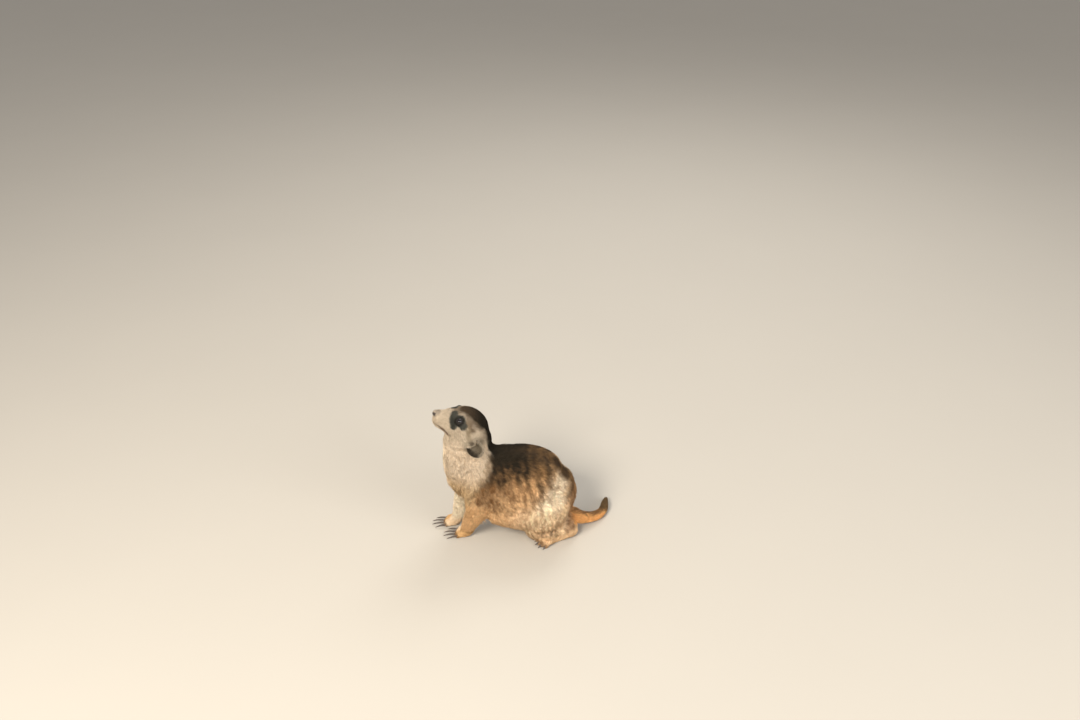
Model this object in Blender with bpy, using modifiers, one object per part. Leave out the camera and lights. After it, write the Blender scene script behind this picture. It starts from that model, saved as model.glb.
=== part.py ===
"""A life-size meerkat that sits on its haunches with its forelegs straight and its nose raised.

The animal faces -Y, its left side is +X, and it rests on the plane Z = 0. Its flesh is modelled whole,
as lofts that a voxel remesh joins and smooths, and is then parted into named pieces by thin cuts. The
outer surface is where the tips of the coat lie. Lengths are in metres, and the tables of stations are in
millimetres, from a point on the floor that MIDDLE then moves to the middle of the animal's bounds.
"""

import math

import bmesh
import bpy
import numpy as np
from mathutils import Matrix, Vector

MM = 0.001
GAP = 0.3 * MM  # clearance between two pieces that meet
FIT = 0.5 * GAP  # each side's share of it where one cut parts two pieces
VOXEL = 1.3 * MM
FLESH_TRIANGLES = 2900
BODY_PASSES = 60  # of smoothing, for the trunk and haunches
FLESH_PASSES = 10  # and then for the whole
MIDDLE = Vector((-2.6, 5.6, 0)) * MM  # of the finished bounds, on the floor

# Head: measured back from the nose tip along the skull, and up from that line.
NOSE_TIP = Vector((1.5, -77.5, 143.5)) * MM
HEAD_PITCH = math.radians(38)
HEAD_YAW = math.radians(5)
EYE_RADIUS = 4.3 * MM
EYE_PLACE = (12.2, 22.6, 12.0)  # out, back and up
EAR_PLACE = (23.0, 48.5, 0.5)
EAR_RADII = (8.8, 7.6, 4.8)
EAR_SCOOP_SHARE = 0.84
EAR_SCOOP_SHIFT = 3.2
EAR_MOUTH = (0.80, -0.55, 0.18)  # the way the cup opens: out, back and up
NOSE_PAD_PLACE = (0.0, 0.2, 1.2)
NOSE_PAD_RADII = (4.6, 4.2, 4.4)
ORGAN_SEGMENTS = 12
REGION_SEGMENTS = 10

# Feet and claws.
TOES = 4
TOE_FAN = math.radians(11)  # from the foot's heading to the outermost toe
OUTER_TOE_LOSS = 0.22  # share by which the outermost toe is shorter
TOE_ROOT_SET_BACK = 2.0
KNUCKLE_RISE = 1.2
TOE_DROP = 2.4
FORE_TOE_SPREAD = 4.6
FORE_KNUCKLES = (7.0, 4.6)  # ahead of the wrist's foot, and up
HIND_TOE_SPREAD = 5.4
HIND_KNUCKLES = (23.5, 33.0, 4.8)
FORE_TOE_LENGTH = 9.0
FORE_TOE_RADIUS = 2.7
FORE_CLAW_LENGTH = 14.0
HIND_TOE_LENGTH = 10.0
HIND_TOE_RADIUS = 3.0
HIND_CLAW_LENGTH = 5.5
CLAW_RADIUS = 1.15
CLAW_TAPER = 0.68
CLAW_BOW = 1.2
CLAW_SET_OFF = 0.4
CLAW_LIFT = 0.6
CLAW_END_HEIGHT = 0.75
OUTER_CLAW_LOSS = 0.12
CLAW_SHARES = (0.0, 0.35, 0.7, 1.0)
CLAW_LOFT = {"per_span": 1, "segments": 6, "cap_rings": 0}

# Planes that part the trunk: a point in the middle plane and the slope dZ/dY of the cut.
HEAD_CUT = (-46.0, 107.0, 0.0)
NECK_CUT = (-43.0, 90.0, 0.50)
CHEST_CUT_Y = -8.0
RUMP_CUT_Y = 30.0
SPACE = 0.5  # side of the cubes that stand for half-spaces

# Stations: X, Y, Z of the centre, half width across the body, half depth across the path.
TRUNK = [
    (0, -53, 67, 17, 18),
    (0, -44, 68, 25, 26.6),
    (0, -26, 66, 31, 34.5),
    (0, -6, 60, 36.5, 40.5),
    (0, 11, 57, 39.5, 41.5),
    (0, 24, 53.5, 39.5, 39),
    (0, 32, 49, 35, 32),
]
RUMP = [
    (0, 28, 63, 25, 18),
    (0, 27, 50, 34, 24),
    (0, 27, 36, 36, 25),
    (0, 29, 20, 34, 26),
    (0, 33, 6, 28, 24),
]
BELLY = [
    (0, -28, 44, 24, 18),
    (0, -14, 36, 30, 23),
    (0, 4, 34, 35, 24),
    (0, 20, 34, 37, 26),
]
NECK = [
    (0, -30, 74, 26, 26),
    (0, -39, 90, 23, 23.5),
    (0, -45, 103, 21, 21.5),
    (0, -48, 114, 19, 18.5),
]
CHEST_RUFF = [
    (0, -52, 113, 16, 13),
    (0, -52, 100, 19, 17),
    (0, -51.5, 82, 22, 18),
    (0, -51, 64, 21, 16.5),
    (0, -49, 50, 15, 11.5),
]
# The skull's stations run back from the nose: distance back, height of the centre, half height, half width.
SKULL = [
    (2.0, 0.3, 4.2, 4.4),
    (5.5, -0.6, 6.8, 6.6),
    (10.0, -1.0, 9.4, 8.6),
    (15.0, 0.2, 12.0, 11.4),
    (21.0, 2.0, 16.0, 16.0),
    (28.0, 3.0, 19.6, 20.4),
    (35.0, 3.2, 21.2, 23.4),
    (42.0, 2.2, 20.8, 24.4),
    (48.0, 0.8, 18.8, 22.6),
    (53.5, -0.8, 15.0, 18.0),
]
# Joints of each limb: X, Y, Z, half width, half depth. X is counted outwards from the middle plane.
FORELEG = {
    "left": [
        (15, -37, 78, 10, 15),
        (21, -36, 58, 11.5, 14.5),
        (21.5, -37, 41, 10.5, 12),
        (17, -43, 25, 8.6, 9.8),
        (12.5, -48, 12, 7.2, 7.6),
    ],
    "right": [
        (15, -41, 80, 10, 15),
        (18.5, -47, 60, 11, 13),
        (15, -52, 44, 8.8, 9.8),
        (10, -56, 28, 7.2, 7.8),
        (7.5, -58.5, 12, 6.6, 7.0),
    ],
}
FOREPAW = {"left": (11.0, -46.5), "right": (7.5, -59.5)}  # X outwards and Y of the wrist's foot
HAUNCH = [
    (19, 43, 46, 15, 15),
    (23, 35, 41, 18, 24),
    (24, 21, 39, 17.5, 24),
    (22, 9, 38, 13, 19),
]
SHANK = [
    (23, 13, 27, 9, 10),
    (22, 31, 16, 11, 12),
    (14, 52, 11, 9.5, 11),
]
HIND_FOOT = [
    (11, 57, 7, 8, 8),
    (16, 46, 5, 7.6, 6.2),
    (21.5, 36, 4.4, 7.6, 5.4),
]
HIND_TOE_HEADING = math.radians(34)  # outwards from straight ahead
TAIL = [
    (0, 46, 26, 9, 9),
    (-1, 58, 18, 8, 8),
    (-4, 68, 11.5, 6.8, 7),
    (-9.5, 78.5, 7, 5.8, 6),
    (-16.5, 87.5, 5.4, 5.2, 5.2),
    (-25, 92.5, 4.8, 4.8, 4.8),
    (-33, 94.5, 4.2, 4.0, 4.0),
    (-40.5, 96, 3.3, 2.8, 2.8),
    (-45.5, 97, 2.4, 1.8, 1.8),
]

# Where the body is parted: shares of a limb's path, heights, and the spaces that hold a limb.
ELBOW_SHARE = 0.5
WRIST_HEIGHT = 12 * MM
BETWEEN_PAWS = 1.75 * MM
TAIL_CUT = 0.56
TAIL_ROOT = 0.16
TAIL_MARGIN = 3.0
REGION_OVERSHOOT = 15 * MM
UPPER_ARM_REGION = (17 * MM, 21 * MM)
UPPER_ARM_SHIFT = 4.0
FOREARM_REGION = (16 * MM, 17 * MM)
PAW_REGION = (14 * MM, 24 * MM, 16 * MM)
PAW_REGION_PLACE = (8.0, 3.0)  # ahead of the wrist's foot, and up
HAUNCH_REGION = (23 * MM, 36 * MM, 32 * MM)
HAUNCH_REGION_PLACE = (32, 28, 31)
FOOT_REGION = (12 * MM, 32 * MM, 12 * MM)
FOOT_REGION_PLACE = (20, 39, 2)
FOOT_REGION_HEADING = 0.8 * HIND_TOE_HEADING

COLOURS = {
    "cream_fur": ((0.70, 0.58, 0.43), 0.85),
    "grey_tan_fur": ((0.46, 0.34, 0.22), 0.85),
    "tan_fur": ((0.62, 0.43, 0.25), 0.85),
    "dark_fur": ((0.10, 0.07, 0.05), 0.85),
    "nose_skin": ((0.07, 0.04, 0.035), 0.45),
    "eye": ((0.02, 0.012, 0.01), 0.05),
    "claw_horn": ((0.06, 0.045, 0.035), 0.4),
}


def clear_scene():
    for obj in list(bpy.data.objects):
        bpy.data.objects.remove(obj, do_unlink=True)


def collection(name, rendered=True):
    made = bpy.data.collections.new(name)
    made.hide_render = not rendered
    bpy.context.scene.collection.children.link(made)
    return made


def material(name):
    colour, roughness = COLOURS[name]
    made = bpy.data.materials.get(name) or bpy.data.materials.new(name)
    made.use_nodes = True
    shader = made.node_tree.nodes["Principled BSDF"]
    shader.inputs["Base Color"].default_value = (*colour, 1)
    shader.inputs["Roughness"].default_value = roughness
    shader.inputs["Metallic"].default_value = 0
    return made


def unit(vectors):
    return vectors / np.linalg.norm(vectors, axis=-1, keepdims=True)


def smooth_path(stations, per_span):
    """Catmull-Rom rows between the stations, per_span to each span, ends included."""
    rows = np.asarray(stations, float)
    padded = np.vstack([2 * rows[0] - rows[1], rows, 2 * rows[-1] - rows[-2]])
    t = np.linspace(0, 1, per_span, endpoint=False)[:, None]
    made = []
    for a, b, c, d in zip(padded, padded[1:], padded[2:], padded[3:]):
        bend = 2 * a - 5 * b + 4 * c - d
        twist = 3 * b - a - 3 * c + d
        made.append(0.5 * (2 * b + (c - a) * t + bend * t**2 + twist * t**3))
    return np.vstack([*made, rows[-1:]])


def rings_of(rows, side, segments, cap_rings):
    """Elliptical rings about a path, as an array of ring by segment by XYZ.

    Shrinking rings round off each end."""
    centre, width, depth = rows[:, :3], rows[:, 3], rows[:, 4]
    tangent = unit(np.gradient(centre, axis=0))
    across = unit(side - (tangent @ side)[:, None] * tangent)
    normal = np.cross(tangent, across)
    if cap_rings:
        lean = np.radians(90) * np.arange(cap_rings, 0, -1) / (cap_rings + 0.6)
        reach = np.minimum(width, depth)
        start = centre[:1] - tangent[:1] * np.outer(np.sin(lean), reach[:1])
        finish = centre[-1:] + tangent[-1:] * np.outer(np.sin(lean[::-1]), reach[-1:])
        centre = np.vstack([start, centre, finish])
        width = np.hstack([width[0] * np.cos(lean), width, width[-1] * np.cos(lean[::-1])])
        depth = np.hstack([depth[0] * np.cos(lean), depth, depth[-1] * np.cos(lean[::-1])])
        across = np.vstack([across[:1]] * cap_rings + [across] + [across[-1:]] * cap_rings)
        normal = np.vstack([normal[:1]] * cap_rings + [normal] + [normal[-1:]] * cap_rings)
    turn = np.linspace(0, 2 * math.pi, segments, endpoint=False)
    return (
        centre[:, None]
        + (width[:, None] * np.cos(turn))[..., None] * across[:, None]
        + (depth[:, None] * np.sin(turn))[..., None] * normal[:, None]
    )


def add_loft(bm, stations, side=(1, 0, 0), per_span=4, segments=24, cap_rings=3, grow=0.0):
    """Adds a closed loft through elliptical sections to bm. The stations are in millimetres."""
    rows = smooth_path(stations, per_span) * MM
    rows[:, 3:] += grow
    rings = rings_of(rows, np.array(side, float), segments, cap_rings)
    loops = [[bm.verts.new(point) for point in ring] for ring in rings]
    for low, high in zip(loops, loops[1:]):
        for i in range(segments):
            j = (i + 1) % segments
            bm.faces.new((low[i], low[j], high[j], high[i]))
    bm.faces.new(loops[0][::-1])
    bm.faces.new(loops[-1])


def object_of(bm, name, group, smooth=True):
    bmesh.ops.recalc_face_normals(bm, faces=bm.faces)
    mesh = bpy.data.meshes.new(name)
    bm.to_mesh(mesh)
    bm.free()
    if smooth:
        mesh.shade_smooth()
    made = bpy.data.objects.new(name, mesh)
    group.objects.link(made)
    if group.hide_render:
        made.hide_render = True
        made.display_type = "WIRE"
    return made


def loft(name, group, stations, **options):
    bm = bmesh.new()
    add_loft(bm, stations, **options)
    return object_of(bm, name, group)


def ellipsoid(name, group, centre, radii, turn=None, grow=0.0, segments=24):
    """An ellipsoid in metres about centre, turned by the matrix turn."""
    bm = bmesh.new()
    bmesh.ops.create_uvsphere(bm, u_segments=segments, v_segments=segments // 2, radius=1)
    scale = Matrix.Diagonal([r + grow for r in radii] + [1])
    bmesh.ops.transform(bm, matrix=Matrix.Translation(centre) @ (turn or Matrix()) @ scale, verts=bm.verts)
    return object_of(bm, name, group)


def half_space(name, group, point, normal):
    """A large cube whose one face lies at point, and which reaches away along normal."""
    bm = bmesh.new()
    bmesh.ops.create_cube(bm, size=SPACE)
    turn = Vector(normal).to_track_quat("Z", "Y").to_matrix().to_4x4()
    lift = Matrix.Translation((0, 0, SPACE / 2))
    bmesh.ops.transform(bm, matrix=Matrix.Translation(point) @ turn @ lift, verts=bm.verts)
    return object_of(bm, name, group, smooth=False)


def head_matrix():
    """Turns (out to the left, forwards, up) about the nose tip into the row's own axes."""
    level = Vector((math.sin(HEAD_YAW), -math.cos(HEAD_YAW), 0))
    forward = level * math.cos(HEAD_PITCH) + Vector((0, 0, math.sin(HEAD_PITCH)))
    left = Vector((math.cos(HEAD_YAW), math.sin(HEAD_YAW), 0))
    up = left.cross(-forward)
    turn = Matrix((left, -forward, up)).transposed().to_4x4()
    return Matrix.Translation(NOSE_TIP) @ turn


def in_head(out, back, up):
    """A point given in millimetres by its distance out from the skull's middle, back from the nose and up."""
    return head_matrix() @ (Vector((out, back, up)) * MM)


def skull_stations():
    rows = []
    for back, height, half_height, half_width in SKULL:
        rows.append((*(in_head(0, back, height) / MM), half_width, half_height))
    return rows


def mirrored(stations, sign):
    return [(x * sign, *rest) for x, *rest in stations]


def toe_paths(foot, heading, toe_length, spread):
    """For each toe, its stations in millimetres and its own heading, fanned about the foot's heading.

    foot is the middle of the knuckles, and the two inner toes reach further than the outer ones."""
    paths = []
    across = Vector((math.cos(heading), math.sin(heading), 0))
    for share in np.linspace(-1, 1, TOES):
        angle = heading + TOE_FAN * share
        ahead = Vector((math.sin(angle), -math.cos(angle), 0))
        root = foot + across * spread * share - ahead * TOE_ROOT_SET_BACK
        reach = toe_length * (1 - OUTER_TOE_LOSS * share**2)
        knuckle = root + ahead * reach * 0.5 + Vector((0, 0, KNUCKLE_RISE))
        tip = root + ahead * reach - Vector((0, 0, TOE_DROP))
        paths.append(((root, knuckle, tip), ahead))
    return paths


def limb_feet():
    """Every foot as its name, its toe paths, and the radius of a toe and length of a claw."""
    feet = []
    for side, sign in (("left", 1), ("right", -1)):
        x, y = FOREPAW[side]
        ahead, up = FORE_KNUCKLES
        foot = Vector((sign * x, y - ahead, up))
        paths = toe_paths(foot, 0.0, FORE_TOE_LENGTH, FORE_TOE_SPREAD)
        feet.append((f"forepaw_{side}", paths, FORE_TOE_RADIUS, FORE_CLAW_LENGTH))
        x, y, up = HIND_KNUCKLES
        foot = Vector((sign * x, y, up))
        paths = toe_paths(foot, sign * HIND_TOE_HEADING, HIND_TOE_LENGTH, HIND_TOE_SPREAD)
        feet.append((f"hind_foot_{side}", paths, HIND_TOE_RADIUS, HIND_CLAW_LENGTH))
    return feet


def forepaw_stations(side, sign):
    x, y = FOREPAW[side]
    return [
        (sign * x, y, 10, 6.6, 6.6),
        (sign * x, y - 3, 6, 7.2, 6.2),
        (sign * x, y - 8, 4, 7.4, 5.0),
    ]


def body_form(group):
    """The trunk, neck and haunches as one soft shape, joined and blended until no crease shows."""
    bm = bmesh.new()
    for stations in (TRUNK, RUMP, BELLY, NECK, CHEST_RUFF):
        add_loft(bm, stations)
    for side, sign in (("left", 1), ("right", -1)):
        for stations in (FORELEG[side][:3], HAUNCH, SHANK):
            add_loft(bm, mirrored(stations, sign))
    made = object_of(bm, "body_form", group)
    blend(made, BODY_PASSES)
    return mesh_from(made, "body_form")


def flesh_form(group):
    """The body with the lofts of the head, legs, feet and tail, overlapping, in one mesh."""
    bm = bmesh.new()
    bm.from_mesh(body_form(group))
    for stations in (NECK, skull_stations(), TAIL):
        add_loft(bm, stations)
    for side, sign in (("left", 1), ("right", -1)):
        add_loft(bm, mirrored(FORELEG[side][1:], sign))
        add_loft(bm, forepaw_stations(side, sign))
        for stations in (SHANK, HIND_FOOT):
            add_loft(bm, mirrored(stations, sign))
    for _, paths, radius, _ in limb_feet():
        for points, _ in paths:
            rows = [(*p, radius, radius * 0.95) for p in points]
            add_loft(bm, rows, per_span=2, segments=10)
    return object_of(bm, "flesh_form", group)


def blend(obj, passes):
    """Joins an object's overlapping shapes by voxels, and then smooths them."""
    remesh = obj.modifiers.new("join", "REMESH")
    remesh.mode = "VOXEL"
    remesh.voxel_size = VOXEL
    smooth = obj.modifiers.new("blend", "SMOOTH")
    smooth.factor = 0.5
    smooth.iterations = passes


def joined_flesh(group):
    """The whole flesh as one mesh: joined, smoothed, thinned, and flat where it meets the floor."""
    form = flesh_form(group)
    blend(form, FLESH_PASSES)
    dense = mesh_from(form, "flesh_dense")
    triangles = sum(len(face.vertices) - 2 for face in dense.polygons)
    thin = form.modifiers.new("thin", "DECIMATE")
    thin.ratio = FLESH_TRIANGLES / triangles
    boolean(form, "DIFFERENCE", half_space("floor", group, (0, 0, 0), (0, 0, -1)))
    return mesh_from(form, "flesh")


def mesh_from(obj, name):
    graph = bpy.context.evaluated_depsgraph_get()
    made = bpy.data.meshes.new_from_object(obj.evaluated_get(graph))
    made.name = name
    return made


def boolean(obj, operation, cutter):
    made = obj.modifiers.new(f"{operation.lower()}_{cutter.name}"[:60], "BOOLEAN")
    made.operation = operation
    made.solver = "EXACT"
    made.object = cutter


def piece(name, mesh, group, finish, keep=(), cut=()):
    """A named piece of the flesh: what lies inside every shape of keep and outside every shape of cut."""
    made = bpy.data.objects.new(name, mesh.copy())
    made.data.name = name
    made.data.materials.clear()
    made.data.materials.append(material(finish))
    group.objects.link(made)
    for cutter in keep:
        boolean(made, "INTERSECT", cutter)
    for cutter in cut:
        boolean(made, "DIFFERENCE", cutter)
    return made


def path_part(stations, start, finish, per_span=6):
    """The stretch of a path between two shares of it, as stations."""
    rows = smooth_path(stations, per_span)
    share = np.linspace(0, 1, len(rows))
    between = share[(share > start) & (share < finish)]
    wanted = np.hstack([start, between, finish])
    return np.stack([np.interp(wanted, share, column) for column in rows.T], 1)


def sheath(name, group, stations, start, margin):
    """A tube round a limb from a share of its path to its end, wider than the limb by margin."""
    rows = path_part(stations, start, 1, per_span=1)
    return loft(name, group, rows, per_span=1, segments=REGION_SEGMENTS, cap_rings=1, grow=margin * MM)


def cut_plane(name, group, cut, side, shift=0.0):
    """The half-space above (side 1) or below (side -1) one of the trunk's sloping cuts, moved up by shift."""
    y, z, slope = cut
    normal = Vector((0, -slope, 1)).normalized() * side
    return half_space(name, group, Vector((0, y, z)) * MM + normal * shift, normal)


def build_flesh(group, cutters):
    flesh = joined_flesh(cutters)

    # The head's own organs.
    eyes, ears = {}, {}
    for side, sign in (("left", 1), ("right", -1)):
        out, back, up = EYE_PLACE
        eyes[side] = in_head(sign * out, back, up)
        out, back, up = EAR_PLACE
        ears[side] = in_head(sign * out, back, up)
    turn = head_matrix().to_3x3().to_4x4()
    pad = (in_head(*NOSE_PAD_PLACE), [r * MM for r in NOSE_PAD_RADII], turn)
    nose_in = ellipsoid("nose_region", cutters, *pad, segments=REGION_SEGMENTS)
    nose_out = ellipsoid("nose_socket", cutters, *pad, GAP, REGION_SEGMENTS)

    above_neck = cut_plane("above_head_cut", cutters, HEAD_CUT, 1, FIT)
    below_head = cut_plane("below_head_cut", cutters, HEAD_CUT, -1, FIT)
    neck_up = cut_plane("above_neck_cut", cutters, NECK_CUT, 1, FIT)
    neck_down = cut_plane("below_neck_cut", cutters, NECK_CUT, -1, FIT)

    head_cuts = [nose_out]
    for side in ("left", "right"):
        build_eye(side, group, eyes[side])
        build_ear(side, group, cutters, ears[side])
        head_cuts.append(eye_form(f"eye_socket_{side}", cutters, eyes[side], GAP))
        head_cuts.append(ear_form(f"ear_socket_{side}", side, cutters, ears[side], GAP))
    piece("head", flesh, group, "cream_fur", [above_neck], head_cuts)
    piece("nose", flesh, group, "nose_skin", [nose_in])
    piece("neck", flesh, group, "cream_fur", [below_head, neck_up])

    # Tail.
    tail_region = sheath("tail_region", cutters, TAIL, TAIL_ROOT, TAIL_MARGIN)
    tail_socket = sheath("tail_socket", cutters, TAIL, TAIL_ROOT, TAIL_MARGIN + GAP / MM)
    joint = limb_cut("tail_joint", cutters, TAIL, TAIL_CUT)
    piece("tail_base", flesh, group, "tan_fur", [tail_region, joint[0]])
    piece("tail_tip", flesh, group, "dark_fur", [tail_region, joint[1]])

    # Limbs, each from a region that holds it.
    sockets = [tail_socket]
    claws = build_claws(group, cutters)
    for side, sign in (("left", 1), ("right", -1)):
        foreleg = mirrored(FORELEG[side], sign)
        region = foreleg_region(f"foreleg_region_{side}", cutters, side, sign)
        elbow = limb_cut(f"elbow_{side}", cutters, foreleg, ELBOW_SHARE)
        wrist_up = half_space(f"above_wrist_{side}", cutters, (0, 0, WRIST_HEIGHT + FIT), (0, 0, 1))
        wrist_down = half_space(f"below_wrist_{side}", cutters, (0, 0, WRIST_HEIGHT - FIT), (0, 0, -1))
        own_side = (BETWEEN_PAWS + sign * FIT, 0, 0)
        leg = [region, half_space(f"foreleg_half_{side}", cutters, own_side, (sign, 0, 0))]
        piece(f"upper_arm_{side}", flesh, group, "tan_fur", [*leg, elbow[0], neck_down])
        piece(f"forearm_{side}", flesh, group, "tan_fur", [*leg, elbow[1], wrist_up])
        piece(f"forepaw_{side}", flesh, group, "tan_fur", [*leg, wrist_down], claws[f"forepaw_{side}"])

        thigh = haunch_region(f"haunch_region_{side}", cutters, sign)
        foot = foot_region(f"hind_foot_region_{side}", cutters, sign)
        foot_socket = foot_region(f"hind_foot_socket_{side}", cutters, sign, GAP)
        foot_cuts = [tail_socket, *claws[f"hind_foot_{side}"]]
        piece(f"thigh_{side}", flesh, group, "tan_fur", [thigh], [foot_socket, tail_socket])
        piece(f"hind_foot_{side}", flesh, group, "tan_fur", [foot], foot_cuts)
        sockets.append(foreleg_region(f"foreleg_socket_{side}", cutters, side, sign, GAP))
        sockets.append(haunch_region(f"haunch_socket_{side}", cutters, sign, GAP))
        sockets.append(foot_socket)

    # Trunk.
    chest_front = half_space("chest_front", cutters, (0, CHEST_CUT_Y * MM - FIT, 0), (0, -1, 0))
    chest_back = half_space("chest_back", cutters, (0, CHEST_CUT_Y * MM + FIT, 0), (0, 1, 0))
    rump_front = half_space("rump_front", cutters, (0, RUMP_CUT_Y * MM - FIT, 0), (0, -1, 0))
    rump_back = half_space("rump_back", cutters, (0, RUMP_CUT_Y * MM + FIT, 0), (0, 1, 0))
    piece("chest", flesh, group, "cream_fur", [neck_down, chest_front], sockets)
    piece("belly", flesh, group, "grey_tan_fur", [chest_back, rump_front], sockets)
    piece("rump", flesh, group, "grey_tan_fur", [rump_back], sockets)


def limb_cut(name, group, stations, share):
    """Half-spaces towards the limb's root and towards its end, either side of a share of its path."""
    rows = path_part(stations, share - 0.02, share + 0.02)
    point = Vector(rows[len(rows) // 2][:3]) * MM
    along = Vector(rows[-1][:3] - rows[0][:3]).normalized()
    return (
        half_space(f"{name}_root_side", group, point - along * FIT, -along),
        half_space(f"{name}_end_side", group, point + along * FIT, along),
    )


def ellipsoid_between(name, group, start, finish, across, grow=0.0):
    """An ellipsoid whose long axis runs through two points in millimetres and a little beyond them."""
    start, finish = (Vector(point) * MM for point in (start, finish))
    turn = (finish - start).to_track_quat("Z", "Y").to_matrix().to_4x4()
    radii = (*across, (finish - start).length / 2 + REGION_OVERSHOOT)
    return ellipsoid(name, group, (start + finish) / 2, radii, turn, grow, REGION_SEGMENTS)


def foreleg_region(name, group, side, sign, grow=0.0):
    """The space that holds one foreleg: ellipsoids about its upper arm, forearm and paw, joined."""
    shoulder, _, elbow, _, wrist = (station[:3] for station in mirrored(FORELEG[side], sign))
    outwards = Vector((sign * UPPER_ARM_SHIFT, 0, 0))
    upper_arm = (Vector(shoulder) + outwards, Vector(elbow) + outwards)
    made = ellipsoid_between(name, group, *upper_arm, UPPER_ARM_REGION, grow)
    forearm = ellipsoid_between(f"{name}_forearm", group, elbow, wrist, FOREARM_REGION, grow)
    x, y = FOREPAW[side]
    ahead, up = PAW_REGION_PLACE
    centre = Vector((sign * x, y - ahead, up)) * MM
    paw = ellipsoid(f"{name}_paw", group, centre, PAW_REGION, grow=grow, segments=REGION_SEGMENTS)
    boolean(made, "UNION", forearm)
    boolean(made, "UNION", paw)
    return made


def haunch_region(name, group, sign, grow=0.0):
    """The space that holds the thigh and shank."""
    x, y, z = HAUNCH_REGION_PLACE
    centre = Vector((sign * x, y, z)) * MM
    return ellipsoid(name, group, centre, HAUNCH_REGION, grow=grow, segments=REGION_SEGMENTS)


def foot_region(name, group, sign, grow=0.0):
    """The space that holds the hind foot."""
    turn = Matrix.Rotation(sign * FOOT_REGION_HEADING, 4, "Z")
    x, y, z = FOOT_REGION_PLACE
    centre = Vector((sign * x, y, z)) * MM
    return ellipsoid(name, group, centre, FOOT_REGION, turn, grow, segments=REGION_SEGMENTS)


def eye_form(name, group, centre, grow=0.0):
    return ellipsoid(name, group, centre, [EYE_RADIUS] * 3, grow=grow, segments=ORGAN_SEGMENTS)


def build_eye(side, group, centre):
    eye_form(f"eye_{side}", group, centre).data.materials.append(material("eye"))


def ear_turn(side):
    """The ear's cup opens outwards, forwards and a little up, in the head's own axes."""
    out, back, up = EAR_MOUTH
    mouth = Vector((out if side == "left" else -out, back, up)).normalized()
    local = mouth.to_track_quat("Z", "Y").to_matrix().to_4x4()
    return head_matrix().to_3x3().to_4x4() @ local


def ear_form(name, side, group, centre, grow=0.0):
    """The ear's outer shape, a flattened ellipsoid that faces the way the cup opens."""
    radii = [r * MM for r in EAR_RADII]
    return ellipsoid(name, group, centre, radii, ear_turn(side), grow, segments=ORGAN_SEGMENTS)


def build_ear(side, group, cutters, centre):
    """A bowl: the outer shape with a smaller one scooped out of its mouth."""
    made = ear_form(f"ear_{side}", side, group, centre)
    made.data.materials.append(material("dark_fur"))
    turn = ear_turn(side)
    outwards = turn.to_3x3() @ Vector((0, 0, EAR_SCOOP_SHIFT * MM))
    radii = [r * EAR_SCOOP_SHARE * MM for r in EAR_RADII]
    scoop = ellipsoid(f"ear_scoop_{side}", cutters, centre + outwards, radii, turn, segments=ORGAN_SEGMENTS)
    boolean(made, "DIFFERENCE", scoop)


def claw_stations(points, ahead, length, grow=0.0):
    """A claw's stations: it leaves the toe's tip, bows upwards and comes down to the floor."""
    start = points[-1] + ahead * CLAW_SET_OFF + Vector((0, 0, CLAW_LIFT))
    drop = start.z - CLAW_END_HEIGHT
    height = CLAW_BOW * length / FORE_CLAW_LENGTH
    rows = []
    for share in CLAW_SHARES:
        bow = Vector((0, 0, height * math.sin(math.pi * share) - drop * share))
        radius = CLAW_RADIUS * (1 - CLAW_TAPER * share) + grow / MM
        rows.append((*(start + ahead * length * share + bow), radius, radius))
    return rows


def build_claws(group, cutters):
    """Makes every claw, and returns for each foot the sockets that its claws need."""
    sockets = {}
    for foot, paths, _, length in limb_feet():
        sockets[foot] = []
        for number, (points, ahead) in enumerate(paths, 1):
            reach = length * (1 - OUTER_CLAW_LOSS * abs(number - (TOES + 1) / 2))
            name = f"claw_{foot}_{number}"
            stations = claw_stations(points, ahead, reach)
            made = loft(name, group, stations, **CLAW_LOFT)
            made.data.materials.append(material("claw_horn"))
            wider = claw_stations(points, ahead, reach, GAP)
            sockets[foot].append(loft(f"{name}_socket", cutters, wider, **CLAW_LOFT))
    return sockets


def main():
    clear_scene()
    cutters = collection("cutters", rendered=False)
    meerkat = collection("meerkat")
    build_flesh(meerkat, cutters)
    for obj in bpy.data.objects:
        obj.location = -MIDDLE


if __name__ == "__main__":
    main()
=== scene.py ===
"""A meerkat that sits on its haunches with straight forelegs and a raised nose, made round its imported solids.

One skin replaces every solid of flesh, and lies under them by the depth of the coat. The coat is solid tufts,
which grow from the skin and lie the way the hair of a meerkat lies. Eyes, lids, ears, nose, claws and
whiskers are pieces of their own. The animal faces -Y and its left side is +X. Tables are in millimetres,
measured from a point on the floor that MIDDLE moves to the middle of the animal's bounds.
"""

import math

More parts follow.
